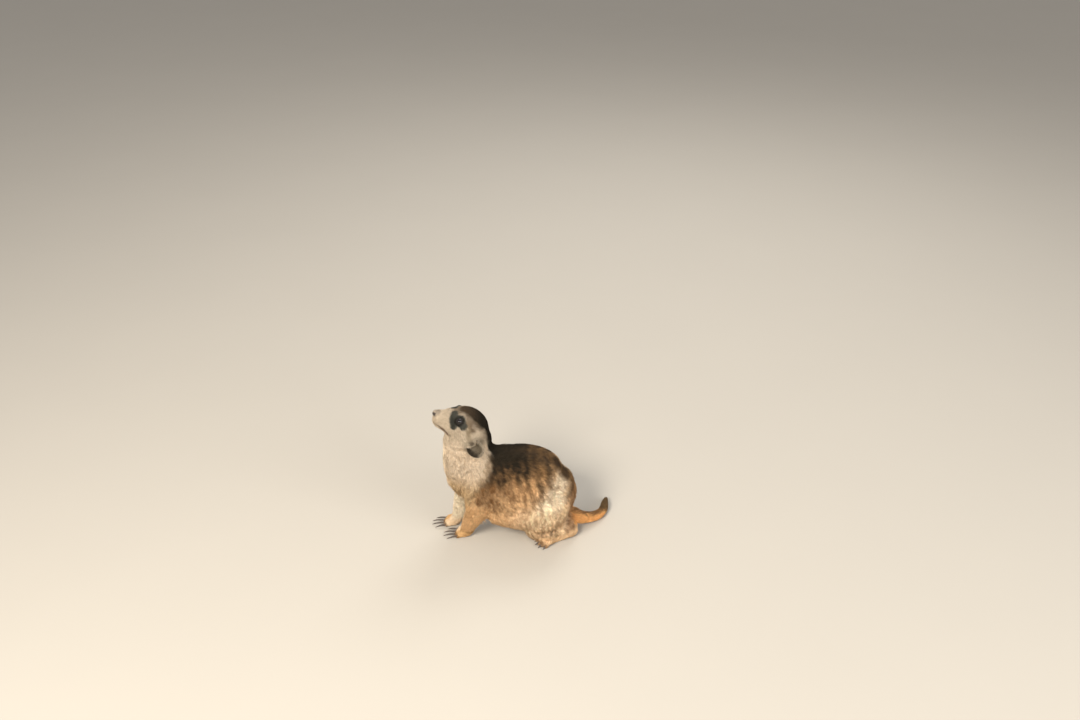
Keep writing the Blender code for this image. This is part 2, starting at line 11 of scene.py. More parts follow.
import bmesh
import bpy
import numpy as np
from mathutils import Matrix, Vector


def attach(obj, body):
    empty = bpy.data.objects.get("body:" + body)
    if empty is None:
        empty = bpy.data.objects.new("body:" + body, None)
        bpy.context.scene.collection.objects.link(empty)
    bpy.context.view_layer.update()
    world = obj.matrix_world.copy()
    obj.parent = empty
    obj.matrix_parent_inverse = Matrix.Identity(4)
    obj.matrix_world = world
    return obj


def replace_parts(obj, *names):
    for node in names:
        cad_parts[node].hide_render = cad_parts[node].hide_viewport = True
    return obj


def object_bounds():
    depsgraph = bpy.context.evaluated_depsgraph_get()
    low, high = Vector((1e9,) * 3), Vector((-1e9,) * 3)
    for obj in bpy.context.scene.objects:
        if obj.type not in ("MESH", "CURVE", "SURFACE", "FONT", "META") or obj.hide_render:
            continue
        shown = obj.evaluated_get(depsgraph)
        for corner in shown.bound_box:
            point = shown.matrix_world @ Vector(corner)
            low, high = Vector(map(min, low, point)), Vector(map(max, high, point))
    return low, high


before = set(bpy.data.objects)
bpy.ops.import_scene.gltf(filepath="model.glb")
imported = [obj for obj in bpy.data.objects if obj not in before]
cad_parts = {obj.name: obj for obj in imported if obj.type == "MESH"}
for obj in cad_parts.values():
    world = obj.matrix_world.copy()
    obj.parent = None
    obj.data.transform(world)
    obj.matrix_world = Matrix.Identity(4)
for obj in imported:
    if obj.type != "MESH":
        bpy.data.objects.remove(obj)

bl_info = {
    "name": "Sitting Meerkat",
    "version": (1, 0, 0),
    "blender": (4, 5, 0),
    "location": "3D View > Sidebar > Meerkat",
    "description": "Skin, coat, head, claws and stage of a life-size sitting meerkat",
    "category": "Add Mesh",
}

CAD_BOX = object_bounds()
MM = 0.001
MIDDLE = np.array([-2.6, 5.6, 0.0])
SIDES = (("left", 1), ("right", -1))

# The flesh, as stations: X, Y, Z of the centre, half width across the body, half depth across the path.
TRUNK = [
    (0, -53, 67, 17, 18),
    (0, -44, 68, 25, 26.6),
    (0, -26, 66, 31, 34.5),
    (0, -6, 60, 36.5, 40.5),
    (0, 11, 57, 39.5, 41.5),
    (0, 24, 53.5, 39.5, 39),
    (0, 32, 49, 35, 32),
]
RUMP = [
    (0, 28, 63, 25, 18),
    (0, 27, 50, 34, 24),
    (0, 27, 36, 36, 25),
    (0, 29, 20, 34, 26),
    (0, 33, 6, 28, 24),
]
BELLY = [
    (0, -28, 44, 24, 18),
    (0, -14, 36, 30, 23),
    (0, 4, 34, 35, 24),
    (0, 20, 34, 37, 26),
]
NECK = [
    (0, -30, 74, 26, 26),
    (0, -39, 90, 23, 23.5),
    (0, -45, 103, 21, 21.5),
    (0, -48, 114, 19, 18.5),
]
CHEST_RUFF = [
    (0, -52, 113, 16, 13),
    (0, -52, 100, 19, 17),
    (0, -51.5, 82, 22, 18),
    (0, -51, 64, 21, 16.5),
    (0, -49, 50, 15, 11.5),
]
FORELEG = {
    "left": [
        (15, -37, 78, 10, 15),
        (21, -36, 58, 11.5, 14.5),
        (21.5, -37, 41, 10.5, 12),
        (17, -43, 25, 8.6, 9.8),
        (12.5, -48, 12, 7.2, 7.6),
    ],
    "right": [
        (15, -41, 80, 10, 15),
        (18.5, -47, 60, 11, 13),
        (15, -52, 44, 8.8, 9.8),
        (10, -56, 28, 7.2, 7.8),
        (7.5, -58.5, 12, 6.6, 7.0),
    ],
}
FOREPAW = {"left": (11.0, -46.5), "right": (7.5, -59.5)}
HAUNCH = [
    (19, 43, 46, 15, 15),
    (23, 35, 41, 18, 24),
    (24, 21, 39, 17.5, 24),
    (22, 9, 38, 13, 19),
]
SHANK = [
    (23, 13, 27, 9, 10),
    (22, 31, 16, 11, 12),
    (14, 52, 11, 9.5, 11),
]
HIND_FOOT = [
    (11, 57, 7, 8, 8),
    (16, 46, 5, 7.6, 6.2),
    (21.5, 36, 4.4, 7.6, 5.4),
]
TAIL = [
    (0, 46, 26, 9, 9),
    (-1, 58, 18, 8, 8),
    (-4, 68, 11.5, 6.8, 7),
    (-9.5, 78.5, 7, 5.8, 6),
    (-16.5, 87.5, 5.4, 5.2, 5.2),
    (-25, 92.5, 4.8, 4.8, 4.8),
    (-33, 94.5, 4.6, 4.6, 4.4),
    (-40.5, 96, 4.0, 3.8, 3.6),
    (-45.0, 97, 3.0, 2.6, 2.4),
]
# The skull's stations: distance back from the nose, height of the centre, half height, half width.
SKULL = [
    (2.0, 0.3, 4.2, 4.4),
    (5.5, -0.6, 6.8, 6.6),
    (10.0, -1.0, 9.4, 8.6),
    (15.0, 0.2, 12.0, 11.4),
    (21.0, 2.0, 16.0, 16.0),
    (28.0, 3.0, 19.6, 20.4),
    (35.0, 3.2, 21.2, 23.4),
    (42.0, 2.2, 20.8, 24.4),
    (48.0, 0.8, 18.8, 22.6),
    (53.5, -0.8, 15.0, 18.0),
]
NOSE_TIP = np.array([1.5, -77.5, 143.5])
HEAD_PITCH = math.radians(38)
HEAD_YAW = math.radians(5)

# Toes and claws.
TOES = 4
TOE_FAN = math.radians(11)
OUTER_TOE_LOSS = 0.22
TOE_ROOT_SET_BACK = 2.0
KNUCKLE_RISE = 1.2
TOE_DROP = 2.4
FORE_KNUCKLES = (7.0, 4.6)
HIND_KNUCKLES = (23.5, 33.0, 4.8)
HIND_TOE_HEADING = math.radians(34)
CLAW_TAPER = 0.68
CLAW_BOW = 1.2
CLAW_SET_OFF = 0.4
CLAW_LIFT = 0.6
CLAW_END_HEIGHT = 0.75
CLAW_RADIUS = 1.12
OUTER_CLAW_LOSS = 0.12

# Voxels and smoothing passes that join and blend the lofts.
BODY_VOXEL = 1.3
BODY_PASSES = 60
SKIN_VOXEL = 1.0
SKIN_PASSES = 17

# How the coat grows along each path: its zone, and the coat's depth, tuft length, tuft width and tufts per
# square millimetre at the path's start and end.
GROWTH = {
    "skull": ("head", (0.30, 1.9), (1.5, 4.8), (0.17, 0.30), (8.5, 4.4)),
    "neck": ("chest", (3.4, 2.4), (7.6, 6.2), (0.38, 0.34), (3.2, 3.6)),
    "ruff": ("chest", (2.4, 3.6), (6.4, 7.8), (0.34, 0.38), (3.6, 3.2)),
    "trunk": ("back", (3.2, 3.4), (8.0, 8.6), (0.38, 0.40), (3.3, 3.3)),
    "belly": ("back", (3.0, 3.0), (7.6, 7.6), (0.40, 0.40), (2.2, 2.2)),
    "rump": ("rump", (3.4, 3.0), (8.4, 7.4), (0.40, 0.40), (3.3, 2.8)),
    "foreleg": ("foreleg", (2.6, 0.8), (6.6, 2.8), (0.36, 0.24), (3.4, 4.6)),
    "forepaw": ("foreleg", (0.6, 0.4), (2.3, 1.6), (0.22, 0.20), (5.2, 5.6)),
    "haunch": ("haunch", (3.2, 3.2), (8.2, 8.0), (0.40, 0.40), (3.2, 3.2)),
    "shank": ("hind_foot", (2.2, 1.3), (6.0, 3.6), (0.38, 0.30), (3.0, 3.4)),
    "hind_foot": ("hind_foot", (0.7, 0.4), (2.6, 1.8), (0.24, 0.22), (4.4, 5.0)),
    "tail": ("tail", (2.0, 1.4), (5.6, 5.4), (0.36, 0.32), (3.8, 5.0)),
    "fore_toe": ("foreleg", (0.4, 0.3), (1.6, 1.2), (0.20, 0.18), (5.6, 6.0)),
    "hind_toe": ("hind_foot", (0.4, 0.3), (1.7, 1.3), (0.20, 0.18), (5.6, 6.0)),
}
ZONES = ("head", "chest", "back", "rump", "haunch", "foreleg", "hind_foot", "tail")
MOST_TUFTS = 19500  # in one piece, at ten triangles a tuft
# Values that the skin carries only until the coat has grown.
WORKING = ("lie", "depth", "length", "width", "density", "zone", "bend")

# Points of the spine in the middle plane, from the nape to the root of the tail: Y and Z.
SPINE = [
    (-26, 128),
    (-23, 114),
    (-17, 99.5),
    (0, 99.5),
    (16, 97.5),
    (31, 92),
    (45, 80),
    (54, 70),
    (60, 55),
    (60, 40),
    (55, 25),
]

# Features of the head, in head places: out to the side, back from the nose, and up.
EYE_PLACE = np.array([11.4, 22.6, 11.4])
EYE_GAZE = np.array([0.76, -0.40, 0.51])
EYE_RADIUS = 3.8
LID_WIDTH = 3.5
LID_HEIGHT = 2.8
LID_SLANT = math.radians(-14)
CORNEA_SWELL = 0.07
CORNEA_ANGLE = math.radians(34)
PUPIL_SQUEEZE = (0.80, 1.30)  # across and upwards
# The lids' opening: angles from the gaze to its corners, top and bottom, and the power that rounds it.
LID_CORNER = math.radians(58)
LID_UPPER = math.radians(41)
LID_LOWER = math.radians(36)
LID_POWER = 1.6
# The lids' section: degrees out from the opening, and the distance from the eye's centre in eye radii.
LID_SECTION = np.array(
    [
        (-1.5, 0.985),
        (-2.5, 1.02),
        (-0.5, 1.055),
        (3.0, 1.075),
        (7.0, 1.07),
        (12.0, 1.05),
        (18.0, 1.03),
        (24.0, 0.99),
        (32.0, 0.92),
        (34.0, 0.80),
        (20.0, 0.78),
        (5.0, 0.86),
    ]
)
EAR_PLACE = np.array([24.8, 47.9, 1.0])
THROAT_FILL = 2.2
MUZZLE_FILL = 0.85
MOUTH_LINE = [
    (0.0, 3.6, -6.8),
    (3.0, 4.3, -7.1),
    (5.8, 6.6, -7.0),
    (7.5, 10.4, -6.3),
    (8.5, 15.0, -6.3),
    (11.3, 21.2, -7.1),
]
PHILTRUM = [(0.0, 0.4, -2.6), (0.0, 2.0, -4.9), (0.0, 3.6, -6.8)]
EAR_RADII = np.array([9.2, 7.4])
NOSE_PAD_PLACE = np.array([0.0, 2.3, 0.3])
NOSE_PAD_RADII = np.array([3.3, 3.0, 2.8])
# Swells of the face: centre, radii and height of each.
FACE_RELIEF = (
    (EYE_PLACE + 3.2 * EYE_GAZE, (7.5, 7.5, 6.5), -1.0),
    ((9.5, 21.0, 19.0), (6.0, 7.0, 3.2), 1.0),
    ((15.0, 29.5, 9.0), (5.0, 5.0, 4.0), 0.6),
    ((6.4, 7.6, -1.8), (3.4, 4.4, 3.4), 0.7),
    ((0.0, 0.6, -2.4), (4.6, 3.0, 3.4), -1.3),
    ((0.0, 12.0, -10.5), (6.5, 6.5, 4.0), 1.0),
    ((0.0, 15.0, 12.5), (3.2, 7.0, 3.5), -0.6),
)

# Colours of the coat.
CREAM = np.array([0.53, 0.425, 0.30])
RUFF = np.array([0.76, 0.60, 0.425])
WARM_CREAM = np.array([0.78, 0.58, 0.365])
SAND = np.array([0.74, 0.465, 0.235])
PALE_SAND = np.array([0.95, 0.72, 0.46])
TAN = np.array([0.60, 0.345, 0.155])
RUST = np.array([0.36, 0.18, 0.075])
ORANGE = np.array([0.70, 0.36, 0.13])
UMBER = np.array([0.054, 0.035, 0.020])
DARK = np.array([0.021, 0.0155, 0.009])
GREY_BROWN = np.array([0.14, 0.11, 0.08])
PATCH_GREY = np.array([0.050, 0.047, 0.036])
# The lip line's brown, also used for the painted shadow at the lip corner.
LIP_AND_SHADOW_BROWN = np.array([0.11, 0.065, 0.045])

# Where the dark bands cross the back: lengths along the spine from the nape.
BAND_PLACES = (20, 30, 39, 48, 57, 68.5, 81, 95, 109, 124, 140)

# The triangles of one tuft, by its seven points.
TUFT_FACES = np.array(
    [
        (0, 1, 4),
        (0, 4, 3),
        (1, 2, 5),
        (1, 5, 4),
        (2, 0, 3),
        (2, 3, 5),
        (3, 4, 6),
        (4, 5, 6),
        (5, 3, 6),
        (0, 2, 1),
    ]
)

# The form of a tuft: how far along it its two rings are and their share of its width, how far its root sinks
# into the skin, and the height of its ridge as a share of half its width.
TUFT_RINGS = ((0.0, 0.75), (0.5, 1.0))
ROOT_SINK = 0.25
RIDGE = 0.6
# How tufts stray: each to its side, and neighbours together in swirls.
TUFT_SWING = np.radians(9)
SWIRL_SWING = np.radians(26)
SWIRL_SIZE = 8.0
SWIRL_SEED = 21
# A tip rises over the skin by at least this share of the coat's depth, and by up to RISE_SPREAD more.
LEAST_RISE = 0.62
RISE_SPREAD = 0.40
# Locks: their size, the step that their slope is measured over, how hard they pull, and the longest pulled.
LOCK_SIZE = 4.2
LOCK_SEED = 22
LOCK_STEP = 0.6
LOCK_PULL = 1.15
LONGEST_PULLED = 9.0
# How far markings feather, how tufts' shades spread, and what counts as dark.
EDGE_FEATHER = 0.35
SHADE_SPREAD = 0.09
DARK_FUR = 0.09

# The part of the head whose skin is split finer, in head places.
FACE_LOW = (-26, -6, -16)
FACE_HIGH = (26, 33, math.inf)
# Smoothing passes over the mesh.
FACE_PASSES = 3
NAPE_PASSES = 30
LIE_PASSES = 40
FIELD_PASSES = 12
BEND_PASSES = 20

# Starts of the random draws of the small pieces.
LID_SEED = 11
EAR_SEED = 31
WHISKER_SEED = 5

BAKE_PATCH = 0.003  # the side of each tuft's patch on the map for baking
BOX_MARGIN = 0.05  # how far inside the solids' box the coat stays
COAT_FLOOR = 0.15  # the lowest place of the coat
SKIN_FLOOR = 0.35  # the lowest place of the skin


# ------------------------------------------------------------------------------------------------ arithmetic


def unit(vectors):
    """Each vector divided by its length."""
    return vectors / np.maximum(np.linalg.norm(vectors, axis=-1, keepdims=True), 1e-9)


def ease(low, high, x):
    """0 below low and 1 above high, with a smooth S between: 3t^2 - 2t^3. low may be the larger."""
    t = np.clip((x - low) / (high - low), 0, 1)
    return t * t * (3 - 2 * t)


def laid(ways, normals):
    """Ways laid flat on a surface: each less its part along the normal, as a unit vector."""
    return unit(ways - (ways * normals).sum(1)[:, None] * normals)


def circle(count):
    """Angles that go once round in count steps."""
    return np.linspace(0, 2 * math.pi, count, endpoint=False)


def mix(a, b, share):
    """a where share is 0 and b where it is 1, for rows of numbers."""
    share = np.asarray(share)[..., None]
    return a * (1 - share) + np.asarray(b) * share


def even(colour, count):
    """The same colour for each of count points."""
    return np.tile(colour, (count, 1))


def lattice(cells, seed):
    """A repeatable number from 0 to 1 for each whole-number cell, from a mix of its three numbers."""
    mixed = cells[..., 0] * 73856093 ^ cells[..., 1] * 19349663 ^ cells[..., 2] * 83492791
    mixed = (mixed + seed * 1013904223) & 0xFFFFFFFF
    mixed = ((mixed ^ (mixed >> 15)) * 2246822519) & 0xFFFFFFFF
    mixed = ((mixed ^ (mixed >> 13)) * 3266489917) & 0xFFFFFFFF
    return (mixed ^ (mixed >> 16)) / 0xFFFFFFFF


def noise(points, size, seed=0):
    """Smooth noise from 0 to 1: the lattice's values, eased between the corners of cells of this size."""
    scaled = points / size
    cell = np.floor(scaled).astype(np.int64)
    part = scaled - cell
    part = part * part * (3 - 2 * part)
    total = np.zeros(len(points))
    for corner in np.ndindex(2, 2, 2):
        corner = np.array(corner)
        weight = np.prod(np.where(corner, part, 1 - part), axis=1)
        total += weight * lattice(cell + corner, seed)
    return total


def spline(stations, per_span):
    """Catmull-Rom rows between the stations, per_span to each span, ends included."""
    rows = np.asarray(stations, float)
    padded = np.vstack([2 * rows[0] - rows[1], rows, 2 * rows[-1] - rows[-2]])
    t = np.linspace(0, 1, per_span, endpoint=False)[:, None]
    made = []
    for a, b, c, d in zip(padded, padded[1:], padded[2:], padded[3:]):
        bend = 2 * a - 5 * b + 4 * c - d
        twist = 3 * b - a - 3 * c + d
        made.append(0.5 * (2 * b + (c - a) * t + bend * t**2 + twist * t**3))
    return np.vstack([*made, rows[-1:]])


def to_line(points, line):
    """Distance from each point to a line of points, and the place along it from 0 to 1."""
    line = np.asarray(line, float)
    best = np.full(len(points), np.inf)
    place = np.zeros(len(points))
    for i, (a, b) in enumerate(zip(line, line[1:])):
        span = b - a
        share = np.clip((points - a) @ span / (span @ span), 0, 1)
        gap = np.linalg.norm(points - a - share[:, None] * span, axis=1)
        place = np.where(gap < best, (i + share) / (len(line) - 1), place)
        best = np.minimum(best, gap)
    return best, place


def head_axes():
    """Columns: out to the animal's left, back from the nose, and up from the skull's own line."""
    level = np.array([math.sin(HEAD_YAW), -math.cos(HEAD_YAW), 0])
    forward = level * math.cos(HEAD_PITCH) + np.array([0, 0, math.sin(HEAD_PITCH)])
    left = np.array([math.cos(HEAD_YAW), math.sin(HEAD_YAW), 0])
    return np.stack([left, -forward, np.cross(left, -forward)], axis=1)


def in_head(points):
    """Head places (out, back, up) as table places."""
    return np.asarray(points, float) @ head_axes().T + NOSE_TIP


def to_head(points):
    """Table places as head places (out, back, up)."""
    return (points - NOSE_TIP) @ head_axes()


def mirror(sign):
    """What a head place on the left is multiplied by to lie on this side."""
    return np.array([sign, 1, 1])


def mirrored(stations, sign):
    return [(x * sign, *rest) for x, *rest in stations]


def skull_stations():
    return [(*in_head((0, back, up)), wide, high) for back, up, high, wide in SKULL]


def forepaw_stations(side, sign):
    x, y = FOREPAW[side]
    return [
        (sign * x, y, 10, 6.6, 6.6),
        (sign * x, y - 3, 6, 7.2, 6.2),
        (sign * x, y - 8, 4, 7.4, 5.0),
    ]


def toe_paths(foot, heading, length, spread):
    """Each toe as root, knuckle and tip, fanned about the foot's heading, and the toe's own heading."""
    across = np.array([math.cos(heading), math.sin(heading), 0])
    paths = []
    for share in np.linspace(-1, 1, TOES):
        angle = heading + TOE_FAN * share
        ahead = np.array([math.sin(angle), -math.cos(angle), 0])
        root = foot + across * spread * share - ahead * TOE_ROOT_SET_BACK
        reach = length * (1 - OUTER_TOE_LOSS * share**2)
        knuckle = root + ahead * reach * 0.5 + np.array([0, 0, KNUCKLE_RISE])
        tip = root + ahead * reach - np.array([0, 0, TOE_DROP])
        paths.append((np.array([root, knuckle, tip]), ahead))
    return paths


def all_feet():
    """Every foot: its name, toe paths, toe radius and claw length."""
    feet = []
    for side, sign in SIDES:
        x, y = FOREPAW[side]
        ahead, up = FORE_KNUCKLES
        foot = np.array([sign * x, y - ahead, up])
        feet.append((f"forepaw_{side}", toe_paths(foot, 0.0, 9.0, 4.6), 2.7, 14.0))
        x, y, up = HIND_KNUCKLES
        foot = np.array([sign * x, y, up])
        paths = toe_paths(foot, sign * HIND_TOE_HEADING, 10.0, 5.4)
        feet.append((f"hind_foot_{side}", paths, 3.0, 5.5))
    return feet


# ------------------------------------------------------------------------------------------- surfaces, meshes


def rings_of(rows, segments, cap_rings, side=(1, 0, 0)):
    """Ellipses about a path: centre + half width * cos(turn) * across + half depth * sin(turn) * normal.

    Rings that shrink as a quarter circle does round off each end."""
    side = np.array(side, float)
    centre, width, depth = rows[:, :3], rows[:, 3], rows[:, 4]
    tangent = unit(np.gradient(centre, axis=0))
    across = unit(side - (tangent @ side)[:, None] * tangent)
    normal = np.cross(tangent, across)
    if cap_rings:
        lean = np.radians(90) * np.arange(cap_rings, 0, -1) / (cap_rings + 0.6)
        reach = np.minimum(width, depth)
        start = centre[:1] - tangent[:1] * np.outer(np.sin(lean), reach[:1])
        finish = centre[-1:] + tangent[-1:] * np.outer(np.sin(lean[::-1]), reach[-1:])
        centre = np.vstack([start, centre, finish])
        width = np.hstack([width[0] * np.cos(lean), width, width[-1] * np.cos(lean[::-1])])
        depth = np.hstack([depth[0] * np.cos(lean), depth, depth[-1] * np.cos(lean[::-1])])
        across = np.vstack([across[:1]] * cap_rings + [across] + [across[-1:]] * cap_rings)
        normal = np.vstack([normal[:1]] * cap_rings + [normal] + [normal[-1:]] * cap_rings)
    turn = circle(segments)
    return (
        centre[:, None]
        + (width[:, None] * np.cos(turn))[..., None] * across[:, None]
        + (depth[:, None] * np.sin(turn))[..., None] * normal[:, None]
    )


def tube_faces(rings, segments, first=0):
    """Quads of a tube's sides, and the triangles that close it on two poles, whose points come last."""
    i, j = np.meshgrid(np.arange(rings - 1), np.arange(segments), indexing="ij")
    k = (j + 1) % segments
    low, high = first + i * segments, first + (i + 1) * segments
    quads = np.stack([low + j, high + j, high + k, low + k], -1).reshape(-1, 4)
    turn = np.arange(segments)
    after = (turn + 1) % segments
    start, finish = first + rings * segments, first + rings * segments + 1
    last = first + (rings - 1) * segments
    caps = np.vstack(
        [
            np.stack([np.full(segments, start), turn + first, after + first], -1),
            np.stack([np.full(segments, finish), last + after, last + turn], -1),
        ]
    )
    return quads, caps


def closed_tubes(grids):
    """Tubes from grids of ring by segment by XYZ: their points, quads and cap triangles, in one set."""
    points, quads, caps = [], [], []
    count = 0
    for grid in grids:
        rings, segments = grid.shape[:2]
        made_quads, made_caps = tube_faces(rings, segments, count)
        points += [grid.reshape(-1, 3), grid[0].mean(0)[None], grid[-1].mean(0)[None]]
        quads.append(made_quads)
        caps.append(made_caps)
        count += rings * segments + 2
    return np.vstack(points), np.vstack(quads), np.vstack(caps)


def fill_mesh(name, points, *faces):
    """A mesh from table points and arrays of faces with the same number of corners in each array."""
    mesh = bpy.data.meshes.new(name)
    mesh.vertices.add(len(points))
    mesh.vertices.foreach_set("co", ((points - MIDDLE) * MM).astype(np.float32).ravel())
    corners = np.concatenate([f.ravel() for f in faces])
    sizes = np.concatenate([np.full(len(f), f.shape[1]) for f in faces])
    mesh.loops.add(len(corners))
    mesh.loops.foreach_set("vertex_index", corners.astype(np.int32))
    mesh.polygons.add(len(sizes))
    mesh.polygons.foreach_set("loop_start", (np.cumsum(sizes) - sizes).astype(np.int32))
    mesh.update(calc_edges=True)
    mesh.shade_smooth()
    return mesh


def outward(mesh):
    """Turns every face of a closed mesh to the outside."""
    bm = bmesh.new()
    bm.from_mesh(mesh)
    bmesh.ops.recalc_face_normals(bm, faces=bm.faces)
    bm.to_mesh(mesh)
    bm.free()


def closed_mesh(name, points, *faces):
    """A mesh from table points and faces, with its faces turned outward."""
    mesh = fill_mesh(name, points, *faces)
    outward(mesh)
    return mesh


def piece(name, mesh, slot, *materials):
    """An object of this mesh in the scene, riding on the one body, with its finish. The slot is not used."""
    made = bpy.data.objects.new(name, mesh)
    bpy.context.scene.collection.objects.link(made)
    for material in materials:
        mesh.materials.append(material)
    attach(made, "root")
    return made


def points_of(mesh):
    """A mesh's vertices as table places."""
    flat = np.empty(len(mesh.vertices) * 3, np.float32)
    mesh.vertices.foreach_get("co", flat)
    return flat.reshape(-1, 3).astype(float) / MM + MIDDLE


def corners_of(mesh, size):
    """The faces of a mesh whose faces all have this many corners."""
    flat = np.empty(len(mesh.loops), np.int32)
    mesh.loops.foreach_get("vertex_index", flat)
    return flat.reshape(-1, size)


def give(mesh, name, kind, values):
    """Stores one value for each vertex under this name."""
    field = {"FLOAT": "value", "INT": "value", "FLOAT_VECTOR": "vector", "FLOAT_COLOR": "color"}[kind]
    values = np.asarray(values, np.int32 if kind == "INT" else np.float32)
    mesh.attributes.new(name, kind, "POINT").data.foreach_set(field, values.ravel())


def take(mesh, name, width=1):
    """Reads back what give stored."""
    if name not in mesh.attributes:
        raise RuntimeError(f"{mesh.name} has no {name}: make the skin first")
    field = "value" if width == 1 else "vector" if width == 3 else "color"
    flat = np.empty(len(mesh.vertices) * width, np.float32)
    mesh.attributes[name].data.foreach_get(field, flat)
    return flat.reshape(-1, width).astype(float) if width > 1 else flat.astype(float)


def with_alpha(colours):
    return np.hstack([colours, np.ones((len(colours), 1))])


def vertex_normals(points, triangles):
    """For each vertex, the sum of its triangles' cross products, as a unit vector."""
    a, b, c = (points[triangles[:, i]] for i in range(3))
    normal = np.cross(b - a, c - a)
    total = np.zeros_like(points)
    for i in range(3):
        for axis in range(3):
            total[:, axis] += np.bincount(triangles[:, i], normal[:, axis], len(points))
    return unit(total)


def edges_of(triangles):
    ends = np.vstack([triangles[:, [0, 1]], triangles[:, [1, 2]], triangles[:, [2, 0]]])
    return np.unique(np.sort(ends, axis=1), axis=0)


def spread(values, edges, passes, share=0.5, hold=None):
    """Moves each vertex's value towards the mean of its neighbours' by share, passes times."""
    count = len(values)
    degree = np.bincount(edges.ravel(), minlength=count)[:, None]
    columns = values.reshape(count, -1)
    share = np.full((count, 1), share) if hold is None else (share * hold)[:, None]
    for _ in range(passes):
        total = np.stack(
            [
                np.bincount(edges[:, 0], column[edges[:, 1]], count)
                + np.bincount(edges[:, 1], column[edges[:, 0]], count)
                for column in columns.T
            ],
            axis=1,
        )
        columns = columns + share * (total / degree - columns)
    return columns.reshape(values.shape)


# ------------------------------------------------------------------------------------------------- the skin


def blended(name, points, quads, caps, voxel, passes):
    """Joins overlapping closed surfaces by voxels, smooths them, and returns the points and quads."""
    mesh = closed_mesh(name, points, quads, caps)
    form = bpy.data.objects.new(name, mesh)
    bpy.context.scene.collection.objects.link(form)
    remesh = form.modifiers.new("join", "REMESH")
    remesh.mode = "VOXEL"
    remesh.voxel_size = voxel * MM
    smooth = form.modifiers.new("blend", "SMOOTH")
    smooth.factor = 0.5
    smooth.iterations = passes
    graph = bpy.context.evaluated_depsgraph_get()
    made = bpy.data.meshes.new_from_object(form.evaluated_get(graph))
    result = points_of(made), corners_of(made, 4)
    bpy.data.objects.remove(form)
    bpy.data.meshes.remove(mesh)
    bpy.data.meshes.remove(made)
    return result


def body_surfaces():
    """The lofts of the trunk, neck and haunches."""
    stations = [TRUNK, RUMP, BELLY, NECK, CHEST_RUFF]
    for side, sign in SIDES:
        stations += [mirrored(rows, sign) for rows in (FORELEG[side][:3], HAUNCH, SHANK)]
    return [rings_of(spline(rows, 4), 24, 3) for rows in stations]


def limb_surfaces():
    """The lofts of the head, tail, legs, feet and toes."""
    stations = [NECK, skull_stations(), TAIL]
    for side, sign in SIDES:
        stations += [mirrored(FORELEG[side][1:], sign), forepaw_stations(side, sign)]
        stations += [mirrored(rows, sign) for rows in (SHANK, HIND_FOOT)]
    made = [rings_of(spline(rows, 4), 24, 3) for rows in stations]
    for _, paths, radius, _ in all_feet():
        for points, _ in paths:
            rows = np.hstack([points, np.full((3, 1), radius), np.full((3, 1), radius * 0.95)])
            made.append(rings_of(spline(rows, 2), 10, 3))
    return made


def coat_outline():
    """The outer form of the coat: the body blended first, and then the head, limbs and tail joined to it."""
    points, quads = blended("body", *closed_tubes(body_surfaces()), BODY_VOXEL, BODY_PASSES)
    more, more_quads, caps = closed_tubes(limb_surfaces())
    quads = np.vstack([quads, more_quads + len(points)])
    caps = caps + len(points)
    return blended("flesh", np.vstack([points, more]), quads, caps, SKIN_VOXEL, SKIN_PASSES)


def refined(points, quads):
    """Triangles of the outline, with the face split once more for its detail."""
    head = to_head(points)
    face = ((head > FACE_LOW) & (head < FACE_HIGH)).all(1)
    mesh = fill_mesh("outline", points, quads)
    bm = bmesh.new()
    bm.from_mesh(mesh)
    bm.verts.ensure_lookup_table()
    fine = {bm.verts[i] for i in np.flatnonzero(face)}
    edges = [e for e in bm.edges if e.verts[0] in fine and e.verts[1] in fine]
    bmesh.ops.subdivide_edges(bm, edges=edges, cuts=1, use_grid_fill=True)
    bmesh.ops.triangulate(bm, faces=bm.faces)
    bmesh.ops.recalc_face_normals(bm, faces=bm.faces)
    bm.to_mesh(mesh)
    bm.free()
    result = points_of(mesh), corners_of(mesh, 3)
    bpy.data.meshes.remove(mesh)
    return result


def coat_paths():
    """Each path the coat grows along, as its kind, its rows, and the way the hair runs on it."""
    paths = [("skull", skull_stations(), 1), ("neck", NECK, -1), ("ruff", CHEST_RUFF, 1)]
    paths += [("trunk", TRUNK, 1), ("belly", BELLY, 1), ("rump", RUMP, 1), ("tail", TAIL, 1)]
    for side, sign in SIDES:
        paths.append(("foreleg", mirrored(FORELEG[side], sign), 1))
        paths.append(("forepaw", forepaw_stations(side, sign), 1))
        for kind, rows in (("haunch", HAUNCH), ("shank", SHANK), ("hind_foot", HIND_FOOT)):
            paths.append((kind, mirrored(rows, sign), 1))
    for name, toes, radius, _ in all_feet():
        for points, _ in toes:
            kind = "fore_toe" if name.startswith("fore") else "hind_toe"
            paths.append((kind, np.hstack([points, np.full((3, 2), radius)]), 1))
    return paths


def hair_run(kind, tangent, normal, sign):
    """The way hair runs on one part before it is laid on the skin: along limbs, tail and skull, down the
    neck and chest, back and down over the trunk, and down over the rump and haunches."""
    side = np.abs(normal[:, 0])
    down = np.array([0.0, 0.0, -1.0])
    if kind in ("trunk", "belly"):
        return np.stack([normal[:, 0] * 0, np.ones(len(side)), -0.25 - 1.0 * side], 1)
    if kind == "rump":
        return np.stack([side * 0, np.full(len(side), 0.55), np.full(len(side), -1.0)], 1)
    if kind == "haunch":
        return np.stack([side * 0, np.full(len(side), 0.30), np.full(len(side), -1.0)], 1)
    if kind == "ruff":
        return tangent * sign + 0.25 * down
    return tangent * sign


